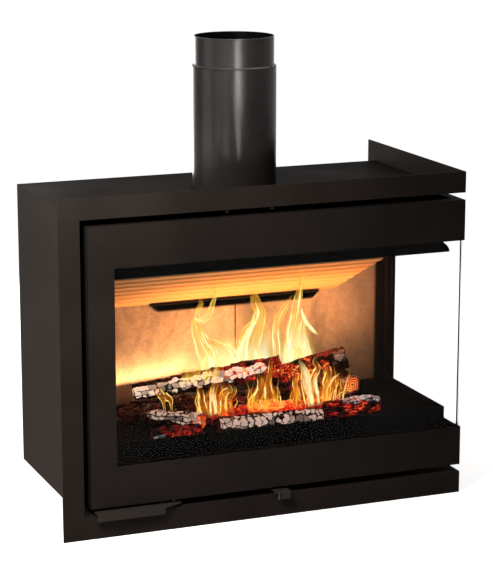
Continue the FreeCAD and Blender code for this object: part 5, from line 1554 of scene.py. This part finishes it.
def makeFlameMaterial(name, look):
    # a hollow sheet of flame: soft body, brighter rims and strands that follow its flow
    material, tree, shader = startMaterial(name, Roughness=1.0, Specular_IOR_Level=0.0,
                                           Base_Color=(0, 0, 0, 1),
                                           Emission_Strength=flameSettings["strength"])
    place = addNode(tree, "UVMap", uv_map="flameMap").outputs[0]
    split = axesOf(tree, place)
    along = split["Y"]

    def flow(kind):
        stretch = (*flowSettings[kind], 1.0)
        stretched = addNode(tree, "Mapping", {"Vector": place, "Scale": stretch}).outputs[0]
        return cloud(tree, stretched, scale=1.0, detail=2.0, rough=0.5)

    sideways = scaleAdd(tree, maths(tree, "MODULO", split["X"], 2.0), 2.0, -1.0)
    sway = scaleAdd(tree, flow("swayFlow"), flowSettings["sway"], -flowSettings["sway"] / 2)
    growth = spread(tree, along, *flowSettings["swayHeight"], *flowSettings["swayGrowth"])
    off = maths(tree, "ABSOLUTE", scaleAdd(tree, sway, growth, sideways))
    body = spread(tree, off, *flowSettings["body"])
    rim = times(tree, spread(tree, off, *flowSettings["rimInner"]),
                spread(tree, off, *flowSettings["rimOuter"]))
    broken = spread(tree, flow("rimFlow"), *flowSettings["rimRange"], *flowSettings["rimShow"])
    rim = times(tree, rim, broken)
    strand = times(tree, spread(tree, flow("strandFlow"), *flowSettings["strandRange"]), body)
    density = maths(tree, "ADD", times(tree, body, look["body"]), times(tree, rim, look["rim"]))
    density = scaleAdd(tree, strand, look["strand"], density)
    lowTip = maths(tree, "SUBTRACT", along, flowSettings["tip"] / 2)
    tip = scaleAdd(tree, flow("tipFlow"), flowSettings["tip"], lowTip)
    height = axesOf(tree, objectPlace(tree))["Z"]
    starts, ends = look["top"]
    fade = times(tree, spread(tree, height, *look["foot"]), spread(tree, tip, ends, starts))
    edge = spread(tree, maths(tree, "ABSOLUTE", sideways), *flowSettings["edge"])
    shown = times(tree, density, times(tree, fade, edge))
    feed(tree, addNode(tree, "Clamp", {0: shown}).outputs[0], shader.inputs["Alpha"])
    redder = scaleAdd(tree, along, -look["redder"], look["pale"])
    heat = scaleAdd(tree, density, flowSettings["denseHeat"], redder)
    feed(tree, colourSteps(tree, heat, flameColours), shader.inputs["Emission Color"])
    return material


for flameName, flameLines in tongues.items():
    look = flameLooks[flameName]
    flame = addPiece(flameName, flameMesh(flameName, flameLines, look["wider"]),
                     makeFlameMaterial(flameName, look))
    flame.visible_shadow = False     # fire throws no shadow
print("flames made:", sum(len(lines) for lines in tongues.values()), "tongues")


# The fire's own light on the lining

fireLamps = {
    # name: left end, right end, aim from the middle, height, watts, colour
    "wallGlow": ((-0.335, 0.113, 0.237), (0.07, 0.110, 0.266), (0, 0.007, 0.04), 0.018, 0.8,
                 (1.0, 0.54, 0.22)),
    "fireGlow": ((-0.12, -0.02, 0.36), (0.38, -0.02, 0.36), (0, 0.157, 0.04), 0.08, 0.72, (1.0, 0.46, 0.18)),
    "baffleGlow": ((-0.14, -0.04, 0.34), (0.42, -0.04, 0.34), (0, 0.05, 0.18), 0.10, 1.5, (1.0, 0.38, 0.11)),
}


def lieAlong(lamp, left, right, aim):
    # the lamp's width runs from left to right, and it shines square to that towards the aim
    along = (Vector(right) - Vector(left)).normalized()
    back = -(Vector(aim) - along * along.dot(Vector(aim))).normalized()
    lamp.rotation_euler = Matrix((along, back.cross(along), back)).transposed().to_euler()


for lampName, (left, right, aim, tall, watts, colour) in fireLamps.items():
    middle = (Vector(left) + Vector(right)) / 2
    long = (Vector(right) - Vector(left)).length
    lamp = addLamp(lampName, middle, middle + Vector(aim), long, tall, watts, colour)
    lieAlong(lamp, left, right, aim)
print("fire light set")
